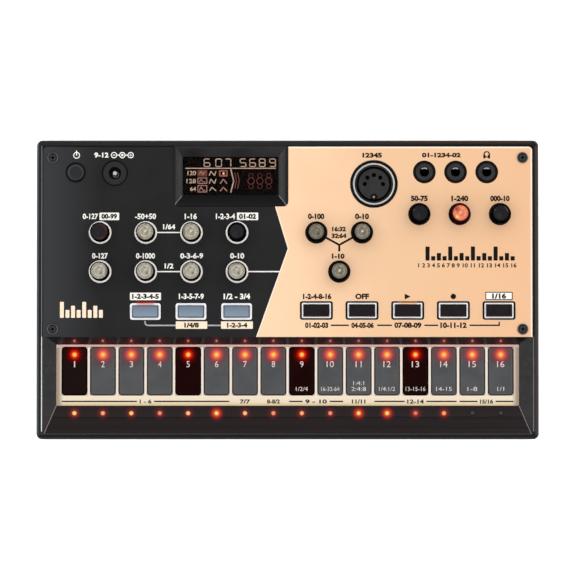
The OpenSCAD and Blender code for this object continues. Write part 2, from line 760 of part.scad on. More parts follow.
// Outline that narrows from the bezel's rim to the window, between the levels z0 and z1
module bezel_hollow(z0, z1) {
    run_left = window_x0 - bezel_x0 - bezel_rim;
    run_right = bezel_x1 - bezel_rim - window_x0 - window_w;
    run_near = window_y0 - bezel_y0 - bezel_rim;
    run_far = bezel_y1 - bezel_rim - window_y0 - window_d;
    up = (z1 + 1 - z0) / (z1 - z0);
    intersection() {
        along_y(bezel_y0, bezel_y1) polygon([[window_x0, z0 - 1], [window_x0, z0],
            [window_x0 - up * run_left, z1 + 1], [window_x0 + window_w + up * run_right, z1 + 1],
            [window_x0 + window_w, z0], [window_x0 + window_w, z0 - 1]]);
        along_x(bezel_x0, bezel_x1) polygon([[window_y0, z0 - 1], [window_y0, z0],
            [window_y0 - up * run_near, z1 + 1], [window_y0 + window_d + up * run_far, z1 + 1],
            [window_y0 + window_d, z0], [window_y0 + window_d, z0 - 1]]);
    }
}

module bezel_well(z0, z1) block([bezel_x0 + bezel_seat, bezel_y0 + bezel_seat, z0],
    [bezel_x1 - bezel_seat, bezel_y1 - bezel_seat, z1]);

// Plate with the bezel's outline, grown by g, that runs on past the back wall
module bezel_outline(g, z0, z1) slab([bezel_x0 - g, bezel_y0 - g, z0],
    [bezel_x1 + g, bezel_y1 + 2 * bezel_r, z1], bezel_r + g);

module display_bezel() color("#2e2e30") difference() {
    union() {
        intersection() {
            bezel_outline(0, z_deck, z_bezel);
            block([bezel_x0, bezel_y0, z_deck], [bezel_x1, bezel_y1 - fit_gap, z_bezel]);
        }
        bezel_well(z_bezel_foot, z_deck + eps);
    }
    bezel_hollow(z_bezel_foot + 0.3, z_bezel);
}

module display_lens() color("#3a2220") bezel_well(z_lens, z_bezel_foot);

// Block with the window's outline, grown by g
module window_block(g, z0, z1) block([window_x0 - g, window_y0 - g, z0],
    [window_x0 + window_w + g, window_y0 + window_d + g, z1]);

module display_glass() color("#140808") window_block(0.8, z_glass, z_lens);

module display_backlight() color("#e8e4d8") difference() {
    window_block(1, z_control, z_glass);
    window_block(-1, z_control + 1.2, z_glass - 1);
}

// ---------- jack board ----------

module jack_board() color(board_colour) difference() {
    block([-board_x, jack_board_y0, z_jack - board_t], [board_x, jack_board_y1, z_jack]);
    post_clearance();
    for (p = jack_bosses) at(p) rod(board_hole_r, z_jack - board_t - 1, z_jack + 1);
}

module small_sockets() color("#1b1b1c") for (x = jack_xs) at([x, jack_y]) difference() {
    union() {
        centred_block(jack_w, jack_d, z_jack, z_body);
        rod(jack_r, z_body - eps, z_jack_collar);
        rod(jack_nose_r, z_jack_collar - eps, z_jack_nose);
    }
    rod(jack_bore_r, z_jack_nose - jack_bore_l, z_jack_nose + 1);
}

module power_inlet() color("#1b1b1c") at([inlet_x, inlet_y]) difference() {
    union() {
        centred_block(inlet_w, inlet_d, z_jack, z_body);
        rod(inlet_r, z_body - eps, z_inlet);
    }
    rod(inlet_bore_r, z_inlet - inlet_bore_l, z_inlet + 1);
    rod(inlet_root_r + run_gap, z_jack + 1, z_inlet);
}

module power_inlet_pin() color("#c9ccd0") at([inlet_x, inlet_y]) {
    rod(inlet_root_r, z_jack + 1, z_inlet - inlet_bore_l);
    rod(inlet_pin_r, z_inlet - inlet_bore_l - eps, z_inlet - inlet_bore_l + inlet_pin_l);
}

module round_socket() color("#1b1b1c") at([din_x, din_y]) difference() {
    union() {
        centred_block(din_w, din_w, z_jack, z_body);
        rod(din_r, z_body - eps, z_din);
    }
    rod(din_shell_r + run_gap, z_din_face, z_din + 1);
    difference() {
        rod(din_shell_r + run_gap, z_din_face - din_depth, z_din + 1);
        rod(din_shell_r - din_shell_t - run_gap, z_din_face - din_depth - 1, z_din + 2);
    }
    difference() {
        rod(din_core_r + din_plug_gap, z_din_face - din_depth, z_din + 1);
        rod(din_core_r, z_din_face - din_depth - 1, z_din + 2);
    }
    for (a = [0:45:180]) rotate(a) translate([din_pin_circle, 0, 0])
        rod(din_pin_r, z_din_face - din_depth, z_din + 1);
    hull() for (y = [din_key_y, -din_core_r]) translate([0, y, 0])
        rod(din_key_r, z_din_face - din_key_depth, z_din + 1);
}

module round_socket_shell() color("#c9ccd0") at([din_x, din_y]) {
    difference() {
        rod(din_shell_r, z_din_face - din_depth, z_din - 0.2);
        rod(din_shell_r - din_shell_t, z_din_face - din_depth - 1, z_din + 1);
    }
    translate([0, din_key_y, 0]) rod(din_contact_r, z_din_face - din_key_depth, z_din_face - 0.3);
}

module power_switch() color("#202020") at([power_x, power_y]) difference() {
    centred_block(power_w, power_w, z_jack, z_jack + power_body_h);
    rod(power_rod_r + slide_gap, z_jack + power_floor, z_jack + power_body_h + 1);
}

module power_button() color("#232326") at([power_x, power_y]) {
    rod(power_r, z_flange - eps, z_plate + power_h);
    rod(power_flange_r, z_flange - flange_t, z_flange);
    rod(power_rod_r, z_jack + power_floor + seat_gap + power_travel, z_flange - flange_t + eps);
}

// ---------- knobs and buttons ----------

module knob(k) color(k[0] == "tempo_knob" ? "#e7835a" : "#a7a090") at([k[1], k[2]]) difference() {
    union() {
        rod(knob_r, knob_foot, knob_top - knob_edge);
        translate([0, 0, knob_top - knob_edge - eps])
            cylinder(r1 = knob_r, r2 = knob_r - knob_edge, h = knob_edge + eps);
        rod(shaft_r, z_control + pot_floor + seat_gap, knob_foot + eps);
    }
    rotate(-k[3]) translate([-knob_r, knob_r - facet_run, knob_top]) rotate([90 - facet_angle, 0, 0])
        translate([0, 0, -7]) cube([2 * knob_r, 5, 9]);
}

module button(b) color(b[1] < 0 ? "#8293a3" : "#28222a") at([b[1], b[2]]) {
    centred_block(cap_w, cap_d, z_flange - eps, z_plate + cap_h);
    centred_block(cap_w + 2 * flange_lip, cap_d + 2 * flange_lip, z_flange - flange_t, z_flange);
    rod(stem_r, z_control + key_floor + seat_gap + key_travel, z_flange - flange_t + eps);
}

// ---------- speaker ----------

module at_speaker() translate([speaker_x, speaker_y, z_inside]) children();

module speaker_frame() color("#3c3f44") at_speaker() {
    z_back = speaker_h - magnet_h + 0.4;
    rotate_extrude() polygon([[speaker_r - speaker_lip, 0], [speaker_r, 0], [speaker_r, 1.6],
        [speaker_r - 1, 1.6], [magnet_r + 1, z_back], [magnet_r - 2, z_back], [magnet_r - 2, z_back - 0.8],
        [magnet_r + 0.6, z_back - 0.8], [speaker_r - speaker_lip, 1]]);
    translate([speaker_r - 5, -3, 2.6]) cube([4.5, 6, 1]);
}

module speaker_cone() color("#17181a") at_speaker() {
    cone_r = speaker_r - speaker_lip - 0.1;
    z_back = speaker_h - magnet_h - 0.6;
    rotate_extrude() polygon([[0, 1.6], [speaker_r * 0.3, 1.6], [speaker_r * 0.36, 2.2], [cone_r, 0.2],
        [cone_r, 0.6], [magnet_r - 1, z_back], [0, z_back]]);
}

module speaker_magnet() color("#55585c") at_speaker() {
    translate([0, 0, speaker_h - magnet_h + 0.4]) cylinder(r = magnet_r, h = magnet_h - 0.4);
}

// ---------- battery bay ----------

// One cell along +X, starting at x0, with its nub forward
module cell(x0, y) translate([x0, y, cell_z]) rotate([0, 90, 0]) {
    cylinder(r = cell_r, h = cell_l - nub_l);
    cylinder(r = 2.75, h = cell_l - run_gap);
}

module battery_cells() color("#b8862b") for (i = [-row_cells / 2:1:row_cells / 2 - 1]) {
    cell(i * cell_l, cell_y[1]);
    mirror([1, 0, 0]) cell(i * cell_l, cell_y[0]);
}

// Conical spring that reaches from a contact plate to a cell
module spring(x_plate, x_cell, y) {
    turns = 3;
    steps = 12 * turns;
    r0 = 5.2;
    r1 = 2.4;
    tube([for (i = [0:steps]) let (f = i / steps, a = 360 * turns * f, r = r0 + (r1 - r0) * f)
        [x_plate + (x_cell - x_plate) * f, y + r * cos(a), cell_z + r * sin(a)]], spring_wire_r);
}

module battery_contacts() color("#c9ccd0") {
    half = 5.5;
    reach = spring_l - contact_t;
    wire_in = spring_wire_r + 0.05;
    block([bay_x - contact_t, cell_y[0] - half, contact_z0], [bay_x, cell_y[1] + half, contact_z1]);
    for (i = [0, 1]) {
        block([-bay_x, cell_y[i] - half, contact_z0], [-bay_x + contact_t, cell_y[i] + half, contact_z1]);
        block([-bay_x_out - 1.2, tab_y[i] - tab_w / 2, tab_z],
            [-bay_x + eps, tab_y[i] + tab_w / 2, tab_z + contact_t]);
    }
    for (c = [[bay_x - spring_l, cell_y[1]], [-bay_x + contact_t - eps, cell_y[0]]])
        translate([c[0], c[1], cell_z]) rotate([0, 90, 0]) cylinder(r = 3, h = reach + eps);
    spring(bay_x - contact_t - wire_in, bay_x - spring_l + wire_in, cell_y[0]);
    spring(-bay_x + contact_t + wire_in, -bay_x + spring_l - wire_in, cell_y[1]);
}

// ---------- fastening and wiring ----------

module board_screw(z, length, head_h) {
    rod(board_head_r, z - head_h, z);
    rod(board_screw_r, z - eps, z + length);
}

module board_screws() color("#8d9095") {
    length = board_t + board_screw_l - 0.5;
    for (p = control_bosses) at(p) board_screw(z_control_low, length, board_head_h);
    for (p = jack_bosses) at(p) board_screw(z_jack - board_t, length, board_head_h);
    for (p = touch_screws) at(p) board_screw(z_touch - touch_t, touch_t + 1, touch_head_h);
}

// Flat ribbon of width w from (y0, z0) to (y1, z1), level at both ends
module ribbon(x, w, y0, z0, y1, z1, flat0, flat1) {
    middle = [[y0, z0], [y0 + flat0, z0], [y1 - flat1, z1], [y1, z1]];
    along_x(x - w / 2, x + w / 2)
        polygon(concat(middle, [for (i = [3:-1:0]) middle[i] + [0, ribbon_t]]));
}

module ribbon_cables() color("#c8c8c4") {
    ribbon(0, touch_cable_w, touch_y1 - 3, z_touch - touch_t - ribbon_t,
        control_y0 + plug_y, z_control + 1, 2.6, 1);
    ribbon(jack_cable_x, jack_cable_w, jack_cable_y, z_control_low - 1,
        jack_board_y0 + 4, z_jack + 0.6, 1, 1);
}

module hookup_wires() color("#a12a20") {
    z_solder = z_jack - board_t - wire_r - 0.05;
    for (s = side) at_speaker() wire([for (p = speaker_route) [p[0], s * p[1], p[2]]]);
    for (i = [0, 1]) wire(concat([[-bay_x_out - 0.9, tab_y[i], tab_z - wire_r - 0.05]],
        [for (p = bay_route) if (p[1] > tab_y[i] + 3) [p[0] - x_in, p[1], p[2] + 3 * i]],
        [for (n = [0, 1]) [13.4 + n + 3 * i - x_in, jack_board_y0 + 3 + 3 * n, z_solder - 0.5 + n / 2]]));
}

lower_case();
upper_case();
faceplate();
faceplate_screws();
case_screws();
rubber_feet();
display_bezel();
display_lens();
display_glass();
display_backlight();
pad_plate();
grey_pads();
dark_pads();
touch_board();
pad_lamps();
step_lamps();
control_board();
board_parts();
pot_housings();
key_switches();
key_lamps();
jack_board();
round_socket();
round_socket_shell();
small_sockets();
power_inlet();
power_inlet_pin();
power_switch();
speaker_frame();
speaker_cone();
speaker_magnet();
battery_cells();
battery_contacts();
board_screws();
ribbon_cables();
hookup_wires();
battery_cover();
power_button();
for (k = KNOBS) knob(k);
for (b = BUTTONS) button(b);
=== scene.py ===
# Palm-size drum machine, dressed for rendering. Shapes are worked in millimetres, with X along the front
# edge, Y towards the sockets and Z up, and are brought to metres when a piece is made.
import math

import bmesh
import bpy
from mathutils import Matrix, Vector


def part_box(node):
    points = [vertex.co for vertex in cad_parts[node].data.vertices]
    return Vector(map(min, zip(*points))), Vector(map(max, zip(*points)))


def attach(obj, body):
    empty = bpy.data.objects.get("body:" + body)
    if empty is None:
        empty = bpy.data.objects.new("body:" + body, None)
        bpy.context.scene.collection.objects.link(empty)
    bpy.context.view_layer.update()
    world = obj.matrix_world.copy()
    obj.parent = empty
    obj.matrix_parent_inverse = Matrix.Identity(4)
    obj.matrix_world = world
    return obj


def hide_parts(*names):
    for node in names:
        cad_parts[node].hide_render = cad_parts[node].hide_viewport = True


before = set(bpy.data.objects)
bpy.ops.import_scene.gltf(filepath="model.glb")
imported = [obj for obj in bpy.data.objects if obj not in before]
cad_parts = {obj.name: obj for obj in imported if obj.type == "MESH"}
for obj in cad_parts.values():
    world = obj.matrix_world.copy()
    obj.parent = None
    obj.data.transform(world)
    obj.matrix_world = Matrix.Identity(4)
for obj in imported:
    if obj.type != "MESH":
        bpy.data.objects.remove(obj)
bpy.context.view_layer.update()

MM = 0.001
PRINT = 0.03                  # thickness of a layer of screen-printed ink
GLOW = 0.04                   # thickness of a lit segment
X_OUT, Y_OUT = 96.5, 57.5     # outer faces of the case
X_IN, Y_IN = 94.4, 55.4       # inner faces of its rim
Z_SPLIT = 14.0                # seam between the halves of the case
Z_RIM = 30.0                  # top of the case
Z_PLATE = 29.8                # top of the faceplate
Z_SECOND = Z_PLATE + PRINT    # top of its first layer of ink
Z_PAD = 25.6                  # top of the pads
Z_BAR = 25.5                  # top of the pad plate
Z_GLASS = 26.0                # top of the display glass
PITCH = 10.94                 # from one pad to the next
PAD_W, PAD_D = 9.9, 18.7      # width and depth of a pad
PAD_R = 1.3                   # radius of its corners
PAD_Y = -31.25                # middle of the pads
LAMP_Y = -24.9                # row of the pad lights
STEP_Y = -47.45               # row of the step lights
BAR_FRONT = -44.6             # front edge of the pad plate, where the tray's slope starts
SLOPE = 0.4167                # rise of that slope
CELL_L = 50.5                 # length of a battery cell
CORE_GAP = 1.27               # from one conductor of a ribbon to the next
POWER = (-81.5, 45.1)         # middle of the power button
INLET = (-66.5, 44.9)         # middle of the power inlet
DISPLAY = (-22.0, 43.9)       # middle of the display
ROUND = (33.2, 40.7)          # middle of the round socket
INSERT_R = 7.0                # radius inside which its insert lies
PEG = (33.2, 35.6)            # its key peg
JACK_X, JACK_Y = (52.6, 64.6, 76.6), 45.3    # the small sockets
STEPS = range(16)


def box(node):
    """A CAD node's lowest and highest corners, in millimetres."""
    return [Vector(corner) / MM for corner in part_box(node)]


def middle_of(node):
    """A CAD node's middle in plan, in millimetres."""
    low, high = box(node)
    return (low.x + high.x) / 2, (low.y + high.y) / 2


def lamp_x(i):
    return (i - 7.5) * PITCH


# ---------- materials ----------

def linear(code):
    """An sRGB hex colour as the linear values that a shader takes."""
    parts = [int(code[i:i + 2], 16) / 255 for i in (0, 2, 4)]
    return [p / 12.92 if p <= 0.04045 else ((p + 0.055) / 1.055) ** 2.4 for p in parts] + [1.0]


class Nodes:
    """The nodes of a material or world. Each method adds some and returns the socket that they end in."""

    def __init__(self, block):
        self.block = block
        block.use_nodes = True
        block.node_tree.nodes.clear()

    def put(self, node, key, value):
        """Give an input a value or a link."""
        if isinstance(value, bpy.types.NodeSocket):
            self.block.node_tree.links.new(value, node.inputs[key])
        else:
            node.inputs[key].default_value = value

    def add(self, kind, inputs=None, stops=(), **settings):
        """Add one node with its settings, the stops of its ramp, and its inputs; returns the node."""
        node = self.block.node_tree.nodes.new("ShaderNode" + kind)
        for name, value in settings.items():
            setattr(node, name, value)
        for n, (place, colour) in enumerate(stops):
            ends = node.color_ramp.elements
            stop = ends[0] if n == 0 else ends[-1] if n == len(stops) - 1 else ends.new(place)
            stop.position = place
            stop.color = linear(colour) if isinstance(colour, str) else (colour, colour, colour, 1)
        for key, value in (inputs or {}).items():
            self.put(node, key, value)
        return node

    def calc(self, operation, *values):
        return self.add("Math", dict(enumerate(values)), operation=operation).outputs[0]

    def vector(self, operation, *values):
        node = self.add("VectorMath", dict(enumerate(values)), operation=operation)
        return node.outputs["Value" if operation == "LENGTH" else "Vector"]

    def parts(self, vector):
        return self.add("SeparateXYZ", {0: vector}).outputs

    def times(self, first, *others):
        for other in others:
            first = self.calc("MULTIPLY", first, other)
        return first

    def largest(self, first, *others):
        for other in others:
            first = self.calc("MAXIMUM", first, other)
        return first

    def ease(self, value, low, high, start=0.0, end=1.0):
        """Run from start to end while the value runs from low to high."""
        return self.add("MapRange", {0: value, 1: low, 2: high, 3: start, 4: end}).outputs[0]

    def within(self, value, low, high, soft):
        """1 where the value lies from low to high, easing to 0 outside."""
        return self.times(self.ease(value, low - soft, low), self.ease(value, high, high + soft, 1.0, 0.0))

    def in_sight(self):
        """1 for what the camera sees, straight, mirrored or through glass, and 0 for other light."""
        rays = self.add("LightPath").outputs
        return self.largest(rays["Is Camera Ray"], rays["Is Glossy Ray"], rays["Is Transmission Ray"])

    def ramp(self, value, stops):
        return self.add("ValToRGB", {0: value}, stops).outputs[0]

    def blend(self, share, under, over, way="MIX"):
        """One colour laid over another by a share from 0 to 1; colours are sockets or hex."""
        ends = [linear(c) if isinstance(c, str) else c for c in (under, over)]
        return self.add("Mix", {0: share, 6: ends[0], 7: ends[1]}, data_type="RGBA",
                        blend_type=way).outputs[2]

    def layers(self, colour, *coats):
        """Coats of (share, colour) laid over a colour, one after the other."""
        for share, coat in coats:
            colour = self.blend(share, colour, coat)
        return colour

    def offset(self, place, middle):
        """Way in plan from a middle to a place."""
        return self.vector("MULTIPLY", self.vector("SUBTRACT", place, (*middle, 0)), (1, 1, 0))

    def beyond(self, offset, wide, deep):
        """How far an offset reaches beyond a rectangle of these half sizes."""
        past = self.vector("SUBTRACT", self.vector("ABSOLUTE", offset), (wide, deep, 0))
        return self.vector("LENGTH", self.vector("MAXIMUM", past, (0, 0, 0)))

    def spots(self, place, under, *marks):
        """Lay round marks over a colour: middle, inner and outer radius, and colour of each."""
        for middle, inner, outer, shade in marks:
            far = self.vector("LENGTH", self.offset(place, middle))
            under = self.blend(self.ease(far, inner, outer, 1.0, 0.0), under, shade)
        return under


class Finish(Nodes):
    """A material: its shader, and the place on the piece in millimetres."""

    def __init__(self, name, colour, roughness, gloss=0.5, **sockets):
        super().__init__(bpy.data.materials.new(name))
        inputs = {"Base Color": linear(colour), "Roughness": roughness, "Specular IOR Level": gloss}
        inputs.update({key.replace("_", " "): value for key, value in sockets.items()})
        self.shader = self.add("BsdfPrincipled", inputs)
        self.add("OutputMaterial", {"Surface": self.shader.outputs[0]})
        place = self.add("TexCoord").outputs["Object"]
        self.mm = self.add("VectorMath", {0: place, "Scale": 1 / MM}, operation="SCALE").outputs[0]
        self.x, self.y, self.z = self.parts(self.mm)

    def own_place(self):
        """Place from the piece's own axis, as own_places() notes it."""
        return self.add("Attribute", attribute_name="own_place").outputs["Vector"]

    def stretched(self, x, y):
        return self.add("Mapping", {"Vector": self.mm, "Scale": (x, y, 1.0)}).outputs[0]

    def noise(self, size, detail=2.0, rough=0.6, at=None, twist=0.0):
        return self.add("TexNoise", {"Vector": self.mm if at is None else at, "Scale": 1 / size,
                                     "Detail": detail, "Roughness": rough, "Distortion": twist}).outputs[0]

    def paint(self, colour, socket="Base Color"):
        self.put(self.shader, socket, colour)

    def drift(self, size, *stops, detail=3.0, socket="Base Color"):
        """Paint a slow change of colour over patches of the given size in millimetres."""
        shade = self.ramp(self.noise(size, detail), stops)
        self.paint(shade, socket)
        return shade

    def relief(self, height, depth, strength=1.0):
        """Raise and sink the surface by the height value, depth in millimetres."""
        bump = self.add("Bump", {"Height": height, "Distance": depth * MM, "Strength": strength})
        self.put(self.shader, "Normal", bump.outputs[0])

    def grain(self, size, depth, strength=1.0, at=None):
        """Fine random relief, with grains of the given size in millimetres."""
        self.relief(self.noise(size, at=at), depth, strength)

    def lamplight(self, row, reach, colours, strengths=None):
        """Light that the lamps of one row shed on what surrounds them, out to reach millimetres."""
        across = self.calc("MULTIPLY_ADD", self.x, 1 / PITCH, 8.0)
        index = self.calc("MINIMUM", self.calc("MAXIMUM", self.calc("FLOOR", across), 0.0), 15.0)
        dx = self.calc("MULTIPLY_ADD", self.calc("SUBTRACT", across, index), PITCH, -PITCH / 2)
        dy = self.calc("SUBTRACT", self.y, row)
        far = self.vector("LENGTH", self.add("CombineXYZ", {0: dx, 1: dy}).outputs[0])
        glow = self.ramp(self.calc("DIVIDE", far, reach), colours)
        if strengths:
            which = self.calc("MULTIPLY_ADD", index, 1 / 16, 1 / 32)
            steps = self.add("ValToRGB", {0: which}, [(i / 16, s) for i, s in enumerate(strengths)])
            steps.color_ramp.interpolation = "CONSTANT"
            glow = self.blend(1.0, glow, steps.outputs[0], "MULTIPLY")
        return glow

    def strip_light(self, middle, half, reach, colours):
        """Light that leaks out along a lit strip of the given half length."""
        far = self.beyond(self.offset(self.mm, middle), half, 0)
        return self.ramp(self.calc("DIVIDE", far, reach), colours)

    def shine(self, total, *others):
        """Let the surface give off the sum of these lights."""
        for light in others:
            total = self.blend(1.0, total, light, "ADD")
        self.paint(total, "Emission Color")
        self.paint(1.0, "Emission Strength")


def mottled(name, colour, roughness, patch, *stops, grain=None, detail=3.0, **sockets):
    """A finish that only drifts between two shades over patches, perhaps with a grain."""
    made = Finish(name, colour, roughness, **sockets)
    made.drift(patch, *stops, detail=detail)
    if grain:
        made.grain(*grain)
    return made


# ABS moulded against a spark-eroded tool: a dry, even black with a fine pebble. The grains are really
# about 0.15 mm and are drawn at 0.6 mm so that they show.
ABS_TEXTURED = m = Finish("spark_textured_black_ABS", "1d1d1f", 0.46, gloss=0.25)
plain = m.drift(22, (0.3, "1d1d1f"), (0.7, "242426"))
# Painted reflection: the right and rear rims are tinted warm as if lit by the peach paint beside them
peach_reflection = m.times(m.ease(m.x, 10, 60), m.ease(m.y, 55, 55.4))
# Painted highlights along the rim's inner edges, brightest beside the pads
by_pads = m.ease(m.y, -17.6, -18.6)
inside = m.within(m.y, -54.4, 55.3, 0.2)
left = m.times(m.within(m.x, -94.6, -94.3, 0.12), m.ease(m.z, 29, 29.7), inside)
right = m.times(m.within(m.x, 94.35, 94.6, 0.12), by_pads, inside)
# Over the plain colour: the painted warm reflection, a paler right rim that is painted reflection too, a
# painted highlight on the outer left edge, a darker front rim of painted shade with a painted shadow line and
# a painted highlight line along it, painted shadow in the gaps beside the faceplate at the back and right,
# and the painted highlights of the inner edges
m.paint(m.layers(
    plain, (peach_reflection, "322419"), (m.ease(m.x, 94, 95.2), "3b302d"), (m.within(m.x, -96.3, -95.8, 0.2), "42484c"),
    (m.ease(m.y, -55.2, -55.5), "191516"), (m.within(m.y, -55.95, -55.7, 0.08), "060405"),
    (m.within(m.y, -55.6, -55.3, 0.08), "3f3a3b"), (m.times(m.within(m.y, 55.2, 56, 0.4), peach_reflection), "17100b"),
    (m.within(m.x, 94.2, 94.9, 0.3), "17110f"), (left, m.blend(by_pads, "77797c", "e4e8ea")),
    (right, "707074")))
m.grain(0.6, 0.02, 0.5)

# The same ABS against a polished tool, where the tray shines and carries hair scratches along its length.
# The walls are blotched by handling, and the front slope is banded across its depth, with a thin dark line in
# front of its row of lamps.
ABS_POLISHED = m = Finish("polished_black_ABS", "1b1819", 0.1, gloss=0.4)
hairs = m.noise(1, 4.0, 0.7, m.stretched(0.03, 1.3))
m.paint(m.ramp(hairs, [(0.35, 0.06), (0.7, 0.2)]), "Roughness")
blotched = m.drift(2.6, (0.35, "0c0b0c"), (0.7, "242124"))
swayed = m.calc("ADD", m.noise(16, 2.0, 0.5), m.y)
slope_bands = m.ramp(m.ease(swayed, -55, -45), [
    (0.0, "1d1516"), (0.14, "231a1b"), (0.24, "1b1314"), (0.45, "21181a"), (0.62, "1c1415"), (0.65, "090607"),
    (0.68, "261c1d"), (1.0, "211819")])
on_slope = m.ease(m.y, BAR_FRONT + 0.2, BAR_FRONT - 0.1)
# Painted highlight along the mitres at the tray's front corners
lead = m.calc("MULTIPLY_ADD", m.y, 0.413, m.calc("ABSOLUTE", m.x))
mitre_highlight = m.times(m.within(lead, 70.58, 70.8, 0.12), on_slope)
m.paint(m.layers(blotched, (on_slope, slope_bands), (mitre_highlight, "767476")))
# Painted light: the glow of the step lamps and of the pad lamps on the tray, and painted reflections of the
# pad lamps in its glossy rear wall
STEP_HALO = [0.24, 0.14, 0.16, 0.14, 0.12, 0.95, 0.12, 0.12, 0.14, 0.12, 0.8, 0.8, 0.2, 0.2, 0.0, 0.0]
steps = m.lamplight(STEP_Y, 3.4, [(0.0, "ff9a40"), (0.27, "f86014"), (0.38, "e02c04"), (0.52, "980c02"),
                                  (0.72, "400201"), (1.0, "000000")], STEP_HALO)
rows = m.lamplight(LAMP_Y, 8, [(0.0, "6a1610"), (0.45, "3c0a07"), (0.7, "240406"), (1.0, "000000")])
lamp_reflections = m.lamplight(-19.6, 1.6, [(0.0, "c89088"), (0.2, "a06860"), (0.34, "48100c"), (1.0, "000000")])
m.shine(steps, rows, lamp_reflections)

# Steel sheet with two-tone satin paint: dark on the left, peach on the right, meeting along an arrow shape
PAINTED_STEEL = m = Finish("two_tone_painted_steel", "f7c9a0", 0.5, gloss=0.2)
upper = m.calc("MULTIPLY_ADD", m.y, -0.3013, 4.8012)
lower = m.calc("MULTIPLY_ADD", m.y, 0.357, -5.6006)
past = m.calc("SUBTRACT", m.x, m.calc("MINIMUM", upper, lower))
cloud = m.noise(18, 4.0)
# The peach is painted darker towards the right as painted shading, under a random cloud
cloud_and_shading = m.calc("MULTIPLY_ADD", cloud, 0.3, m.ease(m.x, -5, 92, 0.0, 0.7))
peach = m.ramp(cloud_and_shading, [(0.1, "fed4ae"), (0.45, "edc299"), (0.85, "ecbb91")])
# Painted highlight: a pale strip along the top and right edges of the sheet and along the edge of its mask
edges = m.largest(m.within(past, 0.0, 0.3, 0.2), m.ease(m.x, 93.35, 93.7), m.ease(m.y, 54.35, 54.7))
dark = m.ramp(cloud, [(0.3, "1d1d1f"), (0.7, "242426")])
# The dark paint is painted paler towards the left edge, as a painted sheen
dark = m.blend(m.ease(m.x, -72, -92), dark, "353638")
# Below the top, the edges of the sheet and the walls of its openings are bare steel painted near black, which
# also stands for the shade in the gaps round the sheet and in its openings
bare_and_shaded = m.ease(m.z, 29.62, 29.45)
m.paint(m.layers(peach, (edges, "ffeedd"), (m.calc("LESS_THAN", past, 0.0), dark), (bare_and_shaded, "12100f")))
m.shine(m.strip_light((-54.7, -4.95), 3.4, 1.4, [
    (0.0, "8c1a10"), (0.3, "4c0e08"), (0.6, "1a0402"), (1.0, "000000")]))
m.grain(0.8, 0.012, 0.4)

# Screen-printed inks: opaque and slightly matt, a little uneven where the mesh of the screen let less through
INKS = {}
for name, shade, thin in (("white", "fffcf6", "f4eee6"), ("black", "0c0806", "18120e"),
                          ("peach", "fde9cf", "f6dcc0"), ("cool_white", "fdfdff", "f0f4fa"),
                          ("grey", "b4b0b0", "a4a0a2")):
    INKS[name] = m = Finish(f"screen_printed_{name}_ink", shade, 0.5, gloss=0.2)
    plain = m.drift(1.2, (0.35, shade), (0.75, thin))
    if name == "cool_white":
        # The frames' tops take the colour of the button lights that shine past the caps
        for x, tint in ((-54.7, "f2a48c"), (46.15, "f6d8b0")):
            plain = m.blend(m.strip_light((x, -5.3), 2.4, 1.6, [(0.0, 1.0), (1.0, 0.0)]), plain, tint)
        m.paint(plain)
    if name == "black":
        m.shine(m.strip_light((46.15, -4.7), 3.4, 0.8, [(0.0, "a86618"), (0.5, "4c2606"), (1.0, "000000")]))

# White ink on the pads, warmed by the red light under it
INKS["lit_white"] = m = Finish("screen_printed_white_ink_over_lamps", "dcd2cc", 0.5, gloss=0.2)
m.drift(0.8, (0.35, "e4dad4"), (0.7, "bcb0aa"))
m.shine(m.lamplight(LAMP_Y, 5, [(0.0, "ff5028"), (0.4, "902418"), (0.7, "300804"), (1.0, "000000")]))

# Blackened steel screws: dark oxide with a soft sheen, with painted highlight rings on their heads and
# painted shade between the rings and in the middle
BLACK_OXIDE = m = Finish("black_oxide_steel", "1e1e20", 0.34, Metallic=0.8)
plain = m.drift(0.9, (0.35, "1a1a1c"), (0.75, "3a3b3e"))
SCREW_MIDDLE, SCREW = (0, 17.8), (90.35, 33.0)    # middle of the four screws, and each one's way from it
heads = m.vector("ABSOLUTE", m.vector("SUBTRACT", m.mm, (*SCREW_MIDDLE, 0)))
m.paint(m.spots(heads, plain, (SCREW, 2.0, 2.15, "6e6e70"), (SCREW, 1.65, 1.8, "232325"),
                (SCREW, 1.15, 1.35, "5c5d5a"), (SCREW, 0.5, 0.75, "15171b")))

# Zinc-plated steel: bluish grey, with the fine turning marks of the screw machine
ZINC_STEEL = mottled("zinc_plated_steel", "a9adb3", 0.32, 1.5, (0.3, "9a9ea5"), (0.7, "b9bcc1"),
                     grain=(0.3, 0.01, 0.4), Metallic=1.0)

# Moulded rubber: nearly black, dry, dusted grey in the hollows of its skin
RUBBER = mottled("moulded_black_rubber", "161616", 0.82, 2, (0.35, "121212"), (0.75, "202020"),
                 grain=(0.4, 0.03, 0.6), gloss=0.3)

# Satin ABS of the display bezel: smoother than the case, so that its slopes catch the light. The side slopes
# are painted paler and the front slope near black, as painted light and shade, and the mitres between them
# carry a painted highlight.
ABS_SATIN = m = Finish("satin_moulded_black_ABS", "1d1d1e", 0.24, gloss=0.4)
plain = m.drift(12, (0.3, "222223"), (0.7, "2a2a2b"))
apart = m.vector("ABSOLUTE", m.vector("SUBTRACT", m.mm, (*DISPLAY, 0)))
past = m.parts(m.vector("SUBTRACT", apart, (18.5, 7.4, 0)))
lead = m.calc("SUBTRACT", m.calc("MULTIPLY", past[0], 1.3), past[1])
in_front = m.ease(m.y, 36.8, 36.3)
slope_light = m.ramp(m.calc("DIVIDE", past[0], 3.0), [
    (0.0, "343535"), (0.3, "424342"), (0.7, "3a3939"), (0.95, "171718")])
mitre_highlight = m.times(m.within(lead, -0.2, 0.2, 0.15), m.ease(past[0], 0.1, 0.3), in_front)
m.paint(m.layers(plain, (in_front, "0a0a0b"), (m.ease(lead, -0.15, 0.15), slope_light), (mitre_highlight, "7c7c80")))
m.grain(0.7, 0.01, 0.25)

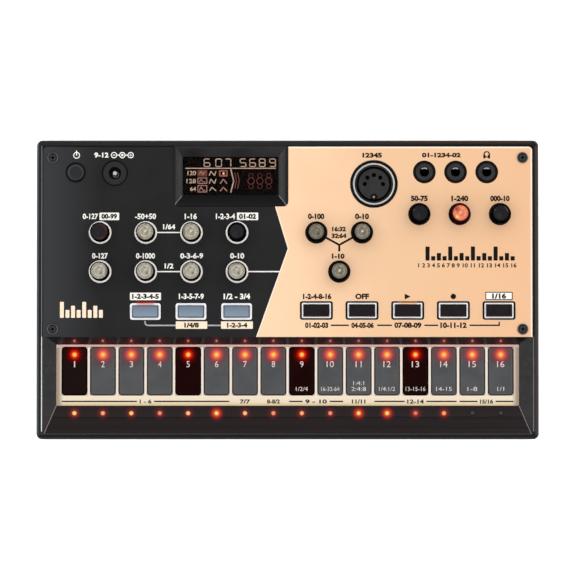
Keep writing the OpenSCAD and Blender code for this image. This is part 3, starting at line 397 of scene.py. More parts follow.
# Smoked acrylic with an anti-glare coat: clear to look through, tinted warm, hardly any reflection
SMOKED_ACRYLIC = Finish("smoked_acrylic", "f0e6e2", 0.0, IOR=1.15, Transmission_Weight=1.0)

# Reverse-mode display glass: almost black with a red cast where the light leaks through
DISPLAY_GLASS = mottled("negative_display_glass", "0a0303", 0.15, 9, (0.3, "0a0303"), (0.75, "140605"),
                        gloss=0.1)

# Display segments: white film lit from behind, in the shades that the backlight gives them
LIT = {}
for name, shade, patch in (
        ("pale", "dcc6b2", "b49a86"), ("pink", "b89088", "98706a"), ("brown", "7a4a3c", "5c382e"),
        ("dim_red", "6c3a3c", "4e2628"), ("amber", "b0745c", "84503c"), ("hot", "ffe8dc", "ffdcc8"),
        ("rust", "845650", "66403a"), ("tan", "bc988c", "946f66")):
    LIT[name] = m = Finish(f"backlit_segment_{name}", "0a0606", 0.5, Emission_Strength=1.0, gloss=0.0)
    m.drift(1.6, (0.35, shade), (0.7, patch), socket="Emission Color")

# White ABS of the light box
ABS_WHITE = mottled("moulded_white_ABS", "e6e2d6", 0.45, 6, (0.3, "e2ddd0"), (0.7, "ece8dd"))

# Brushed and painted aluminium under the pads: warm cream, with painted shade along its front edge and at its
# ends where the tray's walls rise beside it, and a painted pink light of the lamps along its back
CREAM_PLATE = m = Finish("cream_painted_aluminium", "e6d8c8", 0.4, gloss=0.3)
cream = m.ramp(m.ease(m.y, BAR_FRONT, BAR_FRONT + 5), [
    (0.0, "c0a67e"), (0.1, "d6c09a"), (0.3, "e4d4b6"), (0.75, "ebddc7"), (1.0, "e8dcd0")])
m.paint(m.layers(cream, (m.ease(m.calc("ABSOLUTE", m.x), 86.4, 88.2), "a28c78"),
                 (m.ease(m.y, -22.4, -21.9), "d0aca0")))
m.grain(1, 0.01, 0.3, m.stretched(0.05, 4.0))
m.shine(m.lamplight(LAMP_Y, 7, [(0.0, "803020"), (0.5, "481410"), (0.8, "1c0404"), (1.0, "000000")]))


def film(name, shadow_line, inset, faces, first, lamp_tint, glow, gloss):
    """Printed polycarbonate pad film: a dark border of painted shadow, a pale line of painted highlight
    inside it, and red light from its lamp.
    """
    m = Finish(name, faces[0], 0.34, gloss)
    part = m.calc("FRACT", m.calc("MULTIPLY_ADD", m.x, 1 / PITCH, 8.0))
    x = m.calc("MULTIPLY_ADD", part, PITCH, -PITCH / 2)
    own = m.add("CombineXYZ", {0: x, 1: m.calc("SUBTRACT", m.y, PAD_Y)}).outputs[0]
    edge = m.beyond(own, PAD_W / 2 - PAD_R, PAD_D / 2 - PAD_R)
    face = m.ramp(m.noise(6, 3.0, 0.5), [(0.35, faces[0]), (0.65, faces[1])])
    face = m.layers(face, (m.ease(m.x, -75, -77), first), (m.ease(edge, 0.3, 0.6), inset),
                    (m.ease(edge, 0.65, 0.95), shadow_line))
    # Painted light: near its lamp the film's colour is tinted red by the lamp under it
    shade = m.lamplight(LAMP_Y, 5, [(0.0, lamp_tint), (0.5, lamp_tint), (1.0, "ffffff")])
    m.paint(m.blend(1.0, face, shade, "MULTIPLY"))
    m.shine(m.lamplight(LAMP_Y, 5, glow))
    m.grain(0.5, 0.008, 0.3)
    return m


# Pad films: grey ones that scatter the light of the lamp, and smoked ones that swallow it
PAD_FILM = film("grey_polycarbonate_film", "342a26", "5a5452", ("474a4b", "4f5153"), "474a4b", "c09a9c",
                [(0.0, "ffb45a"), (0.17, "f88c40"), (0.25, "e85c2c"), (0.35, "cc4030"), (0.48, "882c34"),
                 (0.68, "48181e"), (1.0, "000000")], 0.25)
SMOKED_FILM = film("smoked_red_polycarbonate_film", "050101", "1c0606", ("170100", "1c0201"), "180f0d",
                   "a05050", [(0.0, "ffa050"), (0.16, "ff7030"), (0.23, "e42c08"), (0.33, "b01004"),
                              (0.46, "5c0302"), (0.7, "200101"), (1.0, "060000")], 0.04)

# Clear epoxy lamps over the pads' board: a yellow core that turns orange towards its edge
LENS_LIT = m = Finish("lit_clear_epoxy", "1a0a04", 0.2, gloss=0.2)
m.shine(m.lamplight(LAMP_Y, 0.95, [(0.0, "ffe07c"), (0.45, "ffcc58"), (0.8, "ff9c40"), (1.0, "f47830")]))

# Clear epoxy lamps in the front slope, each with its own light; the last two are dark
LENS_STEP = m = Finish("lit_step_lamp_epoxy", "3c3b3e", 0.2, gloss=0.3)
m.shine(m.lamplight(STEP_Y, 1, [(0.0, "ffffff"), (0.5, "ffe8d0"), (1.0, "a04828")],
                    ["ffd890", "f4ac7c", "ffd084", "e88c6c", "ffca9c", "ffe478", "ffc694", "ea9a6a", "ffb478",
                     "ea8c78", "ffdc70", "ffe470", "e06c60", "ffa46c", "000000", "000000"]))

# Key lights seen past the caps: deep orange
LENS_KEY = m = Finish("lit_orange_epoxy", "1a0a04", 0.2, Emission_Strength=1.0)
m.drift(0.8, (0.3, "ffb060"), (0.8, "e07030"), socket="Emission Color")

# Boards: green solder mask over glass fibre, with the routed tracks just showing under it
FR4_BOARD = m = Finish("green_solder_mask_FR4", "1d4a33", 0.3, gloss=0.5)
tracks = m.add("TexBrick", {"Vector": m.mm, "Color1": linear("1b4630"), "Color2": linear("20523a"),
                            "Mortar": linear("2c6a4a"), "Scale": 0.32, "Mortar Size": 0.05, "Bias": 0.0,
                            "Brick Width": 2.6, "Row Height": 0.42})
m.paint(tracks.outputs[0])
m.relief(tracks.outputs[1], 0.03, 0.5)

# Black glass-filled nylon and epoxy: chips, switches, sockets
NYLON = mottled("black_glass_filled_nylon", "1c1c1d", 0.36, 3, (0.3, "181819"), (0.7, "222223"),
                grain=(0.45, 0.015, 0.4), gloss=0.3)

# The power inlet's face: the same nylon, a shade paler, with a thin dark ring of painted shade round its edge
INLET_NYLON = m = Finish("black_nylon_inlet", "242425", 0.34, gloss=0.35)
plain = m.drift(3, (0.3, "222223"), (0.7, "2a2a2b"))
m.paint(m.spots(m.mm, plain, (INLET, 4.9, 4.95, "0b0b0b"), (INLET, 4.3, 4.45, "262627")))

# The round socket's insert: a grey peg with a black arch of painted shade round it, where its key notch lies
INSERT_NYLON = m = Finish("black_nylon_insert", "29292a", 0.36, gloss=0.3)
plain = m.drift(3, (0.3, "272728"), (0.7, "303031"))
m.paint(m.spots(m.mm, plain, (PEG, 1.35, 1.55, "040303"), (PEG, 0.9, 1.1, "333234")))

# Collars of the sockets: the same nylon, dead black where it is recessed in the panel
DULL_NYLON = mottled("dull_black_nylon", "100e0d", 0.5, 2, (0.3, "0d0b0a"), (0.7, "151211"),
                     gloss=0.12)

# Polished nylon noses of the small sockets, a shade lighter than their collars
GREY_NYLON = mottled("charcoal_nylon", "2c2a2b", 0.25, 2, (0.3, "282627"), (0.7, "333132"), gloss=0.4)

# Gloss ABS of the power button: a cool black, with a dark ring of painted shade at its edge and a painted
# highlight ring just inside it
GLOSS_ABS = m = Finish("gloss_black_ABS_button", "1f2324", 0.3, gloss=0.4)
plain = m.drift(2, (0.3, "1d2122"), (0.7, "25292a"))
m.paint(m.spots(m.mm, plain, (POWER, 3.0, 3.1, "0c0c0c"), (POWER, 2.75, 2.9, "3c4244"),
                ((POWER[0] + 0.1, POWER[1] - 0.1), 2.45, 2.6, "212526")))

# Blue-grey phenolic pot bodies with a moulded sheen
PHENOLIC = mottled("blue_grey_phenolic", "3d4a63", 0.45, 4, (0.3, "36425a"), (0.7, "46546f"))

# Nickel plate: warm bright metal, with a satin bloom that keeps it pale from above, duller on the key peg
NICKEL = m = Finish("nickel_plated_brass", "ece8e4", 0.3, Metallic=0.5)
plain = m.drift(2, (0.3, "e0dcd8"), (0.75, "f4f2ee"))
m.paint(m.spots(m.mm, plain, ((PEG[0], PEG[1] + 0.1), 1.0, 1.2, "a8a49e")))

# Stamped steel basket of the speaker, stove-enamelled grey
ENAMELLED_STEEL = mottled("grey_enamelled_steel", "42454a", 0.35, 5, (0.3, "3c3f44"), (0.7, "4a4d52"))

# Pressed paper cone: black pulp with loose fibres
PULP = mottled("pressed_paper_pulp", "1b1a1a", 0.9, 0.9, (0.3, "141414"), (0.75, "2a2826"), detail=6.0,
               grain=(0.6, 0.06, 0.8))

# Sintered ferrite: charcoal, grainy, dull
FERRITE = mottled("sintered_ferrite", "3a3b3d", 0.6, 0.7, (0.35, "323335"), (0.75, "4a4b4e"),
                  grain=(0.4, 0.03))

# Printed sleeve of the cells: silver, with a wide dark band towards one end
SLEEVE = m = Finish("printed_foil_sleeve", "b9bbbf", 0.28, Metallic=0.7)
along = m.calc("WRAP", m.x, CELL_L, 0.0)
m.paint(m.blend(m.calc("GREATER_THAN", along, 34.0), "b8babd", "2b2d33"))

# Flat cable: grey film, with a ridge for each conductor
RIBBON = m = Finish("grey_PVC_ribbon", "bdbdb8", 0.45)
cores = m.add("TexWave", {"Vector": m.mm, "Scale": 1 / (CORE_GAP * math.pi), "Distortion": 0.0},
              wave_type="BANDS", bands_direction="X").outputs[0]
m.paint(m.ramp(cores, [(0.1, "8f8f8b"), (0.6, "c8c8c3")]))
m.relief(cores, 0.15)

# Hookup wire: red PVC, smooth and a little waxy
WIRE = mottled("red_PVC_insulation", "a3241c", 0.38, 3, (0.3, "94201a"), (0.7, "b52a20"))


def knob_finish(name, edge, side, body, crown, roughness, *marks, cloud=1.3, top=3.0, gloss=0.4, glow=0.0):
    """Moulded knob: a clouded crown with its marks, a dark edge round it, and a dark fluted side; on the
    lighter knobs the edge and side are painted shade.
    """
    m = Finish(name, body, roughness)
    own = m.own_place()
    far = m.vector("LENGTH", m.vector("MULTIPLY", own, (1, 1, 0)))
    wave = m.calc("SINE", m.calc("MULTIPLY", far, 4.2))
    mixed = m.calc("MULTIPLY_ADD", wave, 0.06, m.noise(1 / 1.1, 5.0, 0.7, own, 1.6))
    level = m.calc("MULTIPLY_ADD", m.calc("SUBTRACT", mixed, 0.5), cloud * 2.4, 0.5)
    marked = m.spots(own, m.ramp(level, [(0.15, body), (0.8, crown)]), *marks)
    shade = m.layers(marked, (m.ease(far, top, top + 0.16), edge), (m.ease(far, 3.3, 3.36), side))
    m.paint(shade)
    # The flutes are dull, the crown is glossy
    m.paint(m.ease(far, top - 0.1, top + 0.1, gloss, 0.0), "Specular IOR Level")
    if glow:
        m.paint(shade, "Emission Color")
        m.paint(glow, "Emission Strength")
    return m


# Knobs of clear ABS: light ones read as warm grey glass, the others are smoked or solid black. A few carry a
# painted highlight in the middle of the crown, others a dark bubble, and the gloss black ones a painted
# highlight at the upper left.
MIDDLE, BUBBLE = (0, 0), (0.8, -0.95)
CLEAR_PIP = knob_finish("clear_grey_ABS", "100d0b", "120f0d", "827b6a", "bab39f", 0.25,
                        (MIDDLE, 0.15, 0.45, "dcd4bc"))
CLEAR_ABS = knob_finish("clear_grey_ABS_with_bubble", "100d0b", "120f0d", "858074", "bdb8a6", 0.25,
                        (BUBBLE, 0.15, 0.42, "4c463c"))
DARK_PIP = knob_finish("clear_dark_grey_ABS", "0e0b09", "0f0c0a", "5e574a", "938a78", 0.25,
                       (MIDDLE, 0.15, 0.45, "f4ecd8"), top=2.85)
CLEAR_DARK = knob_finish("clear_dark_grey_ABS_with_bubble", "0e0b09", "0f0c0a", "5a5246", "857b69", 0.25,
                         (BUBBLE, 0.15, 0.42, "2e2822"), top=2.85)
SOLID_BLACK = knob_finish("gloss_black_ABS", "080808", "0a0909", "121214", "1b1b1e", 0.22,
                          ((-2.3, 1.2), 0.1, 0.6, "3a3a40"), top=2.85, gloss=0.3)
PLAIN_BLACK = knob_finish("satin_black_ABS", "0a0808", "0b0909", "151517", "1f1f23", 0.3, top=2.65, gloss=0.3)
SMOKED_ABS = knob_finish("smoked_clear_ABS", "0c0807", "0c0908", "161618", "202023", 0.22,
                         ((0.5, -0.1), 2.7, 3.1, "44261e"), ((-0.15, 0.1), 2.25, 2.75, "1b1b1f"),
                         top=3.1, gloss=0.3)
GLOWING = knob_finish("clear_ABS_lit_from_below", "4a140c", "1c0a08", "c25a36", "e28862", 0.25,
                      ((-1.4, 1.5), 0.3, 1.5, "96361f"), ((-1.3, -1.5), 0.1, 0.9, "ffc860"),
                      (MIDDLE, 0.15, 0.45, "f8b088"), cloud=0.9, top=2.8, glow=0.2)

# Button caps: silicone-coated ABS, the left ones blue-grey, the right ones smoked
CAP_BLUE = m = Finish("blue_grey_coated_ABS", "7d91a3", 0.4, gloss=0.35)
own = m.own_place()
blues = m.ramp(m.ease(m.parts(own)[1], -2.2, 2.2), [(0.0, "7f93a4"), (0.5, "76889a"), (1.0, "65788a")])
reach = m.parts(m.vector("ABSOLUTE", own))
hem = m.largest(m.ease(reach[0], 4.5, 4.7), m.ease(reach[1], 1.85, 2.05))
m.paint(m.blend(hem, blues, "565c6a"))
m.grain(0.5, 0.01, 0.3)
CAP_SMOKED = mottled("smoked_coated_ABS", "1d1517", 0.3, 4, (0.3, "1a1214"), (0.7, "23191b"),
                     grain=(0.5, 0.01, 0.3), gloss=0.2)


# ---------- making pieces ----------

def piece(name, bm, finishes, body="chassis", replaces=(), soft=35, solid=True):
    """Turn a bmesh in millimetres into a finished piece that rides on a body."""
    if solid:
        bmesh.ops.recalc_face_normals(bm, faces=bm.faces)
    bmesh.ops.scale(bm, vec=(MM, MM, MM), verts=bm.verts)
    mesh = bpy.data.meshes.new(name)
    bm.to_mesh(mesh)
    bm.free()
    for made in finishes:
        mesh.materials.append(made.block)
    mesh.shade_smooth()
    mesh.set_sharp_from_angle(angle=math.radians(soft))
    obj = bpy.data.objects.new(name, mesh)
    bpy.context.scene.collection.objects.link(obj)
    weighted = obj.modifiers.new("even_shading", "WEIGHTED_NORMAL")
    weighted.keep_sharp = True
    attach(obj, body)
    if replaces:
        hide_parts(*replaces)


def lift(bm, faces, height):
    """Raise faces into a solid of the given height; returns the edges round its top."""
    made = bmesh.ops.extrude_face_region(bm, geom=faces)["geom"]
    top = [g for g in made if isinstance(g, bmesh.types.BMFace)]
    bmesh.ops.translate(bm, vec=(0, 0, height), verts=[g for g in made if isinstance(g, bmesh.types.BMVert)])
    inner = set(top)
    return list({e for f in top for e in f.edges if any(g not in inner for g in e.link_faces)})


def soften(bm, edges, width, segments=3):
    bmesh.ops.bevel(bm, geom=edges, offset=width, offset_type="OFFSET", segments=segments, profile=0.5,
                    affect="EDGES", material=-1, clamp_overlap=True)


def flat_shape(bm, x0, y0, x1, y1, z, corner=0.0):
    """Flat rectangle with rounded corners; returns its face."""
    size = Matrix.Diagonal((x1 - x0, y1 - y0, 1, 1))
    middle = Matrix.Translation(((x0 + x1) / 2, (y0 + y1) / 2, z))
    verts = bmesh.ops.create_grid(bm, x_segments=1, y_segments=1, size=0.5, matrix=middle @ size)["verts"]
    if corner:
        verts = bmesh.ops.bevel(bm, geom=verts, offset=corner, offset_type="OFFSET", segments=4,
                                profile=0.5, affect="VERTICES", material=-1)["verts"]
    return verts[0].link_faces[0]


def slab(bm, x0, y0, x1, y1, z0, z1, corner=0.0, edge=0.0):
    """Upright plate with rounded corners and an eased top edge."""
    rim = lift(bm, [flat_shape(bm, x0, y0, x1, y1, z0, corner)], z1 - z0)
    if edge:
        soften(bm, rim, edge)


def frame_of(bm, x0, y0, x1, y1, z, stroke, corner, height=PRINT):
    """Rectangular outline with a stroke of the given width."""
    face = flat_shape(bm, x0, y0, x1, y1, z, corner)
    ring = bmesh.ops.inset_region(bm, faces=[face], thickness=stroke, use_even_offset=True,
                                  use_boundary=True)["faces"]
    bmesh.ops.delete(bm, geom=[face], context="FACES_ONLY")
    lift(bm, ring, height)


def turned(bm, profile, x=0.0, y=0.0, steps=64, closed=False):
    """Spin a profile of (radius, height) points about an upright axis at x, y."""
    before = set(bm.verts)
    verts = [bm.verts.new((x + r, y, z)) for r, z in profile]
    ring = verts + verts[:1] if closed else verts
    edges = [bm.edges.new(ends) for ends in zip(ring, ring[1:])]
    bmesh.ops.spin(bm, geom=verts + edges, cent=(x, y, 0), axis=(0, 0, 1), angle=2 * math.pi, steps=steps,
                   use_merge=True, use_duplicate=False)
    bmesh.ops.remove_doubles(bm, verts=[v for v in bm.verts if v not in before], dist=0.001)


def ring_of(bm, x, y, inner, outer, z, height=PRINT, steps=64):
    turned(bm, [(inner, z), (outer, z), (outer, z + height), (inner, z + height)], x, y, steps, closed=True)


def disc(bm, x, y, radius, z, height=PRINT):
    turned(bm, [(0, z), (radius, z), (radius, z + height), (0, z + height)], x, y, 32)


def strokes(bm, points, width, z, height=PRINT):
    """A run of straight strokes through the given points."""
    for ends in zip(points, points[1:]):
        a, b = (Vector((*end, z + height / 2)) for end in ends)
        turn = (b - a).to_track_quat("X", "Z").to_matrix().to_4x4()
        bmesh.ops.create_cube(bm, size=1, matrix=Matrix.Translation((a + b) / 2) @ turn
                              @ Matrix.Diagonal(((b - a).length, width, height, 1)))


def figures(bm, text, x0, x1, y0, y1, z, height=PRINT, bold=0.03):
    """Numbers in plain strokes, fitted to a rectangle."""
    curve = bpy.data.curves.new("figures", "FONT")
    curve.body = text
    curve.resolution_u = 3
    curve.extrude = 0.5
    curve.offset = bold
    made = bpy.data.objects.new("figures", curve)
    mesh = bpy.data.meshes.new_from_object(made)
    before = set(bm.verts)
    bm.from_mesh(mesh)
    bmesh.ops.remove_doubles(bm, verts=[v for v in bm.verts if v not in before], dist=0.0005)
    verts = [v for v in bm.verts if v not in before]
    low = Vector([min(v.co[i] for v in verts) for i in range(3)])
    size = Vector([max(v.co[i] for v in verts) for i in range(3)]) - low
    bmesh.ops.translate(bm, vec=-low, verts=verts)
    bmesh.ops.scale(bm, vec=((x1 - x0) / size.x, (y1 - y0) / size.y, height / size.z), verts=verts)
    bmesh.ops.translate(bm, vec=(x0, y0, z), verts=verts)
    bpy.data.objects.remove(made)
    bpy.data.curves.remove(curve)
    bpy.data.meshes.remove(mesh)


# Strokes of a seven-bar figure in a box one wide and two high, and the bars that make each figure
BARS = {"a": ((0, 2), (1, 2)), "b": ((1, 2), (1, 1)), "c": ((1, 1), (1, 0)), "d": ((0, 0), (1, 0)),
        "e": ((0, 1), (0, 0)), "f": ((0, 2), (0, 1)), "g": ((0, 1), (1, 1))}
FIGURE_BARS = {"0": "abcdef", "5": "acdfg", "6": "acdefg", "7": "abc", "8": "abcdefg", "9": "abcdfg"}
BAR_GAP = 0.08                # share of a bar left off at each end


def bar_figure(bm, figure, x, y, wide, high, width, z, height):
    """One figure of a display, drawn in straight bars with small gaps between them."""
    for bar in FIGURE_BARS[figure]:
        a, b = (Vector((x + wide * end[0], y + high / 2 * end[1])) for end in BARS[bar])
        short = (b - a) * BAR_GAP
        strokes(bm, [a + short, b - short], width, z, height)


def outward(bm, wanted, angle):
    """The outward corners of a shape whose ends both pass a test of place."""
    limit = math.radians(angle)
    return [e for e in bm.edges if len(e.link_faces) == 2 and e.is_convex
            and e.calc_face_angle(0) > limit and all(wanted(v.co) for v in e.verts)]


def inward(bm, wanted):
    """The inward corners of a shape whose ends pass a test together."""
    return [e for e in bm.edges if len(e.link_faces) == 2 and not e.is_convex
            and e.calc_face_angle(0) > 0.2 and wanted(*(v.co for v in e.verts))]


def dress(name, node, finishes, slot, *cuts, angle=20, inner=None, pick=None, body="chassis"):
    """
    Make a piece of a CAD node's own solid. Each cut is a test of place, a width and a count of segments that
    ease the outward corners; inner does so for inward ones; pick shares the faces out between two finishes.
    """
    bm = bmesh.new()
    bm.from_mesh(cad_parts[node].data)
    bmesh.ops.scale(bm, vec=(1 / MM, 1 / MM, 1 / MM), verts=bm.verts)
    bmesh.ops.remove_doubles(bm, verts=bm.verts, dist=0.002)
    bmesh.ops.dissolve_limit(bm, angle_limit=math.radians(1), verts=bm.verts, edges=bm.edges)
    for wanted, width, segments in cuts:
        soften(bm, outward(bm, wanted, angle), width, segments)
    if inner:
        wanted, width, segments = inner
        soften(bm, inward(bm, wanted), width, segments)
    if pick:
        for face in bm.faces:
            face.material_index = int(pick(face))
    piece(name, bm, finishes, body, [node], solid=False)


# ---------- case ----------

def beyond(v, x, y):
    """Whether a place is outside a rectangle of these half sizes."""
    return abs(v.x) > x or abs(v.y) > y


def at_height(v, z):
    return abs(v.z - z) < 0.03


def in_tray(v, back):
    """Whether a place is inside the pad tray, in front of back."""
    return abs(v.x) < X_IN + 0.01 and -Y_IN - 0.01 < v.y < back and v.z > 22.5


def on_tray(face):
    """Whether a face is one of the tray's walls or its floor."""
    middle = face.calc_center_median()
    return in_tray(middle, -18.19) and middle.z < Z_RIM - 0.05 and face.normal.z > -0.05


dress("upper_case_shell", "upper_case", [ABS_TEXTURED, ABS_POLISHED], "case",
      (lambda v: at_height(v, Z_SPLIT) and beyond(v, X_IN + 0.02, Y_IN + 0.02), 0.25, 2),
      (lambda v: v.z > Z_RIM - 0.9 and beyond(v, X_IN + 0.4, Y_IN + 0.4), 0.3, 3),
      (lambda v: at_height(v, Z_RIM) and not beyond(v, X_IN + 0.02, Y_IN + 0.02), 0.12, 2),
      inner=(lambda a, b: abs(a.z - b.z) > 2 and in_tray(a, -18.1) and in_tray(b, -18.1)
             and max(a.z, b.z) < Z_RIM + 0.01, 0.3, 3), pick=on_tray)
dress("lower_case_shell", "lower_case", [ABS_TEXTURED], "case",
      (lambda v: at_height(v, Z_SPLIT) and beyond(v, X_OUT - 0.7, Y_OUT - 0.7), 0.25, 2),
      (lambda v: v.z < 2.9 and beyond(v, X_OUT - 1.4, Y_OUT - 1.4), 0.25, 2))
dress("battery_cover_moulding", "battery_cover", [ABS_TEXTURED], "case",
      (lambda v: v.z < 2.9, 0.15, 2), body="battery_cover")
dress("rubber_foot_pads", "rubber_feet", [RUBBER], "feet", (lambda v: v.z < 0.5, 0.15, 2))

# ---------- faceplate ----------

# Its outer edges are rolled, those of its openings are left sharp
dress("faceplate_sheet", "faceplate", [PAINTED_STEEL], "faceplate",
      (lambda v: at_height(v, Z_PLATE) and (abs(v.x) > 92 or v.y > 55.1 or v.y < -18.0), 0.2, 2))
dress("faceplate_screw_set", "faceplate_screws", [BLACK_OXIDE], "black_screw",
      (lambda v: v.z > Z_PLATE + 0.05, 0.14, 3))
dress("display_bezel_frame", "display_bezel", [ABS_SATIN], "bezel", (lambda v: v.z > 30.0, 0.1, 2),
      inner=(lambda a, b: abs(a.z - b.z) > 1 and abs(a.x - b.x) > 1, 0.12, 2))

low, high = box("display_lens")
bm = bmesh.new()
slab(bm, low.x, low.y, high.x, high.y, Z_GLASS + 0.1, high.z, 0.4, 0.06)
piece("display_lens_sheet", bm, [SMOKED_ACRYLIC], replaces=["display_lens"])

# ---------- pads ----------

# Only the outer edges of the plate are eased
dress("pad_plate_sheet", "pad_plate", [CREAM_PLATE], "pad_plate",
      (lambda v: at_height(v, Z_BAR) and (abs(v.x) > 89 or v.y > -21.05 or v.y < BAR_FRONT + 0.05), 0.15, 2))

for name, made, slot, places in (("grey_pad_films", PAD_FILM, "grey_pad", [i for i in STEPS if i % 4]),
                                 ("dark_pad_films", SMOKED_FILM, "dark_pad", STEPS[::4])):
    low, high = box(slot + "s")
    bm = bmesh.new()
    for i in places:
        slab(bm, lamp_x(i) - PAD_W / 2, low.y, lamp_x(i) + PAD_W / 2, high.y, low.z, high.z, PAD_R, 0.1)
    piece(name, bm, [made], replaces=[slot + "s"])

for name, node, made, y, top in (
        ("pad_lamp_lenses", "pad_lamps", LENS_LIT, LAMP_Y, Z_PAD + 0.12),
        ("step_lamp_lenses", "step_lamps", LENS_STEP, STEP_Y, Z_BAR + (BAR_FRONT - STEP_Y) * SLOPE)):
    low = box(node)[0].z
    bm = bmesh.new()
    for i in STEPS:
        turned(bm, [(0, low), (0.9, low), (0.9, top - 0.35), (0.78, top - 0.12), (0.45, top),
                    (0, top + 0.04)], lamp_x(i), y, 24)
    piece(name, bm, [made], replaces=[node], soft=50)

# ---------- knobs ----------

# The way each pointer shows, in degrees clockwise from the back, with its finish and slot
KNOBS = {
    "part_level": (110, SMOKED_ABS, "black_knob"), "lfo_amount": (-135, CLEAR_PIP, "grey_knob"),
    "lfo_rate": (-90, CLEAR_PIP, "grey_knob"), "select": (145, PLAIN_BLACK, "black_knob"),
    "pitch": (90, CLEAR_ABS, "grey_knob"), "attack": (90, CLEAR_ABS, "grey_knob"),
    "release": (-45, CLEAR_ABS, "grey_knob"), "send": (0, CLEAR_ABS, "grey_knob"),
    "drum_decay": (90, CLEAR_DARK, "dark_grey_knob"), "drum_body": (-90, DARK_PIP, "dark_grey_knob"),
    "drum_tune": (0, DARK_PIP, "dark_grey_knob"), "swing": (-45, SOLID_BLACK, "black_knob"),
    "tempo": (-135, GLOWING, "lit_knob"), "volume": (60, SOLID_BLACK, "black_knob"),
}
KNOB_R = 3.55                 # radius of a knob
FLANGE, SKIRT = 25.4, 26.9    # under and upper side of the hidden flange of a knob or cap
FLUTES = 0.955                # radius of every second column of a knob's side, as a share
CAP_X, CAP_Y = 4.95, 2.25     # half the size of a button cap; its flange is 1 mm wider all round


def own_places(bm, x, y):
    """Note each point's place from the piece's own axis, for its patterns, then move it to x, y."""
    layer = bm.verts.layers.float_vector.new("own_place")
    for v in bm.verts:
        v[layer] = v.co
    bmesh.ops.translate(bm, vec=(x, y, 0), verts=bm.verts)


def knob(node, pointer, made):
    low, high = box(node)
    top = high.z
    bm = bmesh.new()
    turned(bm, [(0, low.z), (3.0, low.z), (3.0, SKIRT), (KNOB_R, SKIRT), (KNOB_R, 30.6), (KNOB_R, 31.0),
                (KNOB_R, top - 1.0), (KNOB_R, top - 0.55), (3.42, top - 0.2), (3.2, top - 0.02), (2.95, top),
                (2.7, top - 0.03), (0.9, top - 0.05), (0.55, top - 0.16), (0, top - 0.24)], steps=72)
    for v in bm.verts:
        column = round(math.degrees(math.atan2(v.co.y, v.co.x)) / 5)
        if 30.9 < v.co.z < top - 0.7 and v.co.xy.length > 3.3 and column % 2:
            v.co.xy *= FLUTES
    # The pointer is a slanted cut that leaves a crescent on top
    lean = math.radians(28)
    cut = bmesh.ops.bisect_plane(bm, geom=bm.verts[:] + bm.edges[:] + bm.faces[:], dist=0.0001,
                                 plane_co=(0, 2.35, top), plane_no=(0, math.cos(lean), math.sin(lean)),
                                 clear_outer=True)["geom_cut"]
    bmesh.ops.contextual_create(bm, geom=[g for g in cut if isinstance(g, bmesh.types.BMEdge)])
    turn = Matrix.Rotation(math.radians(-pointer), 3, "Z")
    bmesh.ops.rotate(bm, cent=(0, 0, 0), matrix=turn, verts=bm.verts)
    own_places(bm, *middle_of(node))
    piece(node + "_moulding", bm, [made], node, [node], soft=28)


for name, (pointer, made, slot) in KNOBS.items():
    knob(name + "_knob", pointer, made)

# ---------- buttons ----------

BUTTONS = ["edit", "active_step", "layer", "step_jump", "mute", "play", "record", "function"]
for n, name in enumerate(BUTTONS):
    node = name + "_button"
    low, high = box(node)
    bm = bmesh.new()
    slab(bm, -CAP_X, -CAP_Y, CAP_X, CAP_Y, SKIRT, high.z, 0.45, 0.28)
    slab(bm, -CAP_X - 1, -CAP_Y - 1, CAP_X + 1, CAP_Y + 1, FLANGE, SKIRT, 0.3, 0.15)
    turned(bm, [(0, low.z), (1.6, low.z), (1.6, FLANGE), (0, FLANGE)], steps=24)
    own_places(bm, *middle_of(node))
    made, slot = (CAP_BLUE, "blue_button") if n < 3 else (CAP_SMOKED, "black_button")
    piece(node + "_cap", bm, [made], node, [node])

low, high = box("power_button")
bm = bmesh.new()
turned(bm, [(0, low.z), (1.3, low.z), (1.3, FLANGE), (4.4, FLANGE), (4.4, SKIRT), (3.2, SKIRT),
            (3.2, high.z - 0.35), (2.9, high.z - 0.08), (2.4, high.z), (1.6, high.z - 0.05),
            (0, high.z - 0.15)], *middle_of("power_button"))
piece("power_button_cap", bm, [GLOSS_ABS], "power_button", ["power_button"])

# ---------- sockets ----------

# Each collar is the dull first finish of the small sockets, and the nose that stands above it the second
dress("small_socket_bodies", "small_sockets", [DULL_NYLON, GREY_NYLON], "socket",
      (lambda v: v.z > 29.3, 0.18, 3), angle=30, pick=lambda face: face.calc_center_median().z > 29.42)

# A spring in each small socket, which shows as a crescent at its back
bm = bmesh.new()
for x in JACK_X:
    ring_of(bm, x, JACK_Y, 1.35, 1.76, 27.6, 1.4, 48)
bmesh.ops.delete(bm, geom=[v for v in bm.verts if v.co.y < JACK_Y + 1.0], context="VERTS")
bmesh.ops.holes_fill(bm, edges=bm.edges[:], sides=4)
piece("small_socket_springs", bm, [NICKEL])

dress("power_inlet_body", "power_inlet", [INLET_NYLON], "socket", (lambda v: v.z > 29.2, 0.25, 3), angle=30)

low, high = box("power_inlet_pin")
bm = bmesh.new()
turned(bm, [(0, low.z), (1.2, low.z), (1.2, 18.3), (0.825, 18.3), (0.825, high.z - 0.35),
            (0.55, high.z - 0.05), (0, high.z)], *middle_of("power_inlet_pin"), 32)
piece("power_inlet_centre_pin", bm, [NICKEL], replaces=["power_inlet_pin"])

dress("round_socket_body", "round_socket", [INSERT_NYLON, DULL_NYLON], "socket",
      (lambda v: v.z > 28.5, 0.12, 2), angle=30,
      pick=lambda face: min((v.co.xy - Vector(ROUND)).length for v in face.verts) > INSERT_R)
dress("round_socket_metal_shell", "round_socket_shell", [NICKEL], "bright_metal",
      (lambda v: v.z > 29.9, 0.28, 4), (lambda v: 27.9 < v.z < 28.5, 0.2, 3), angle=30)

# ---------- printing on the faceplate ----------

ink = {name: bmesh.new() for name in ("white", "black", "peach", "cool_white", "grey")}

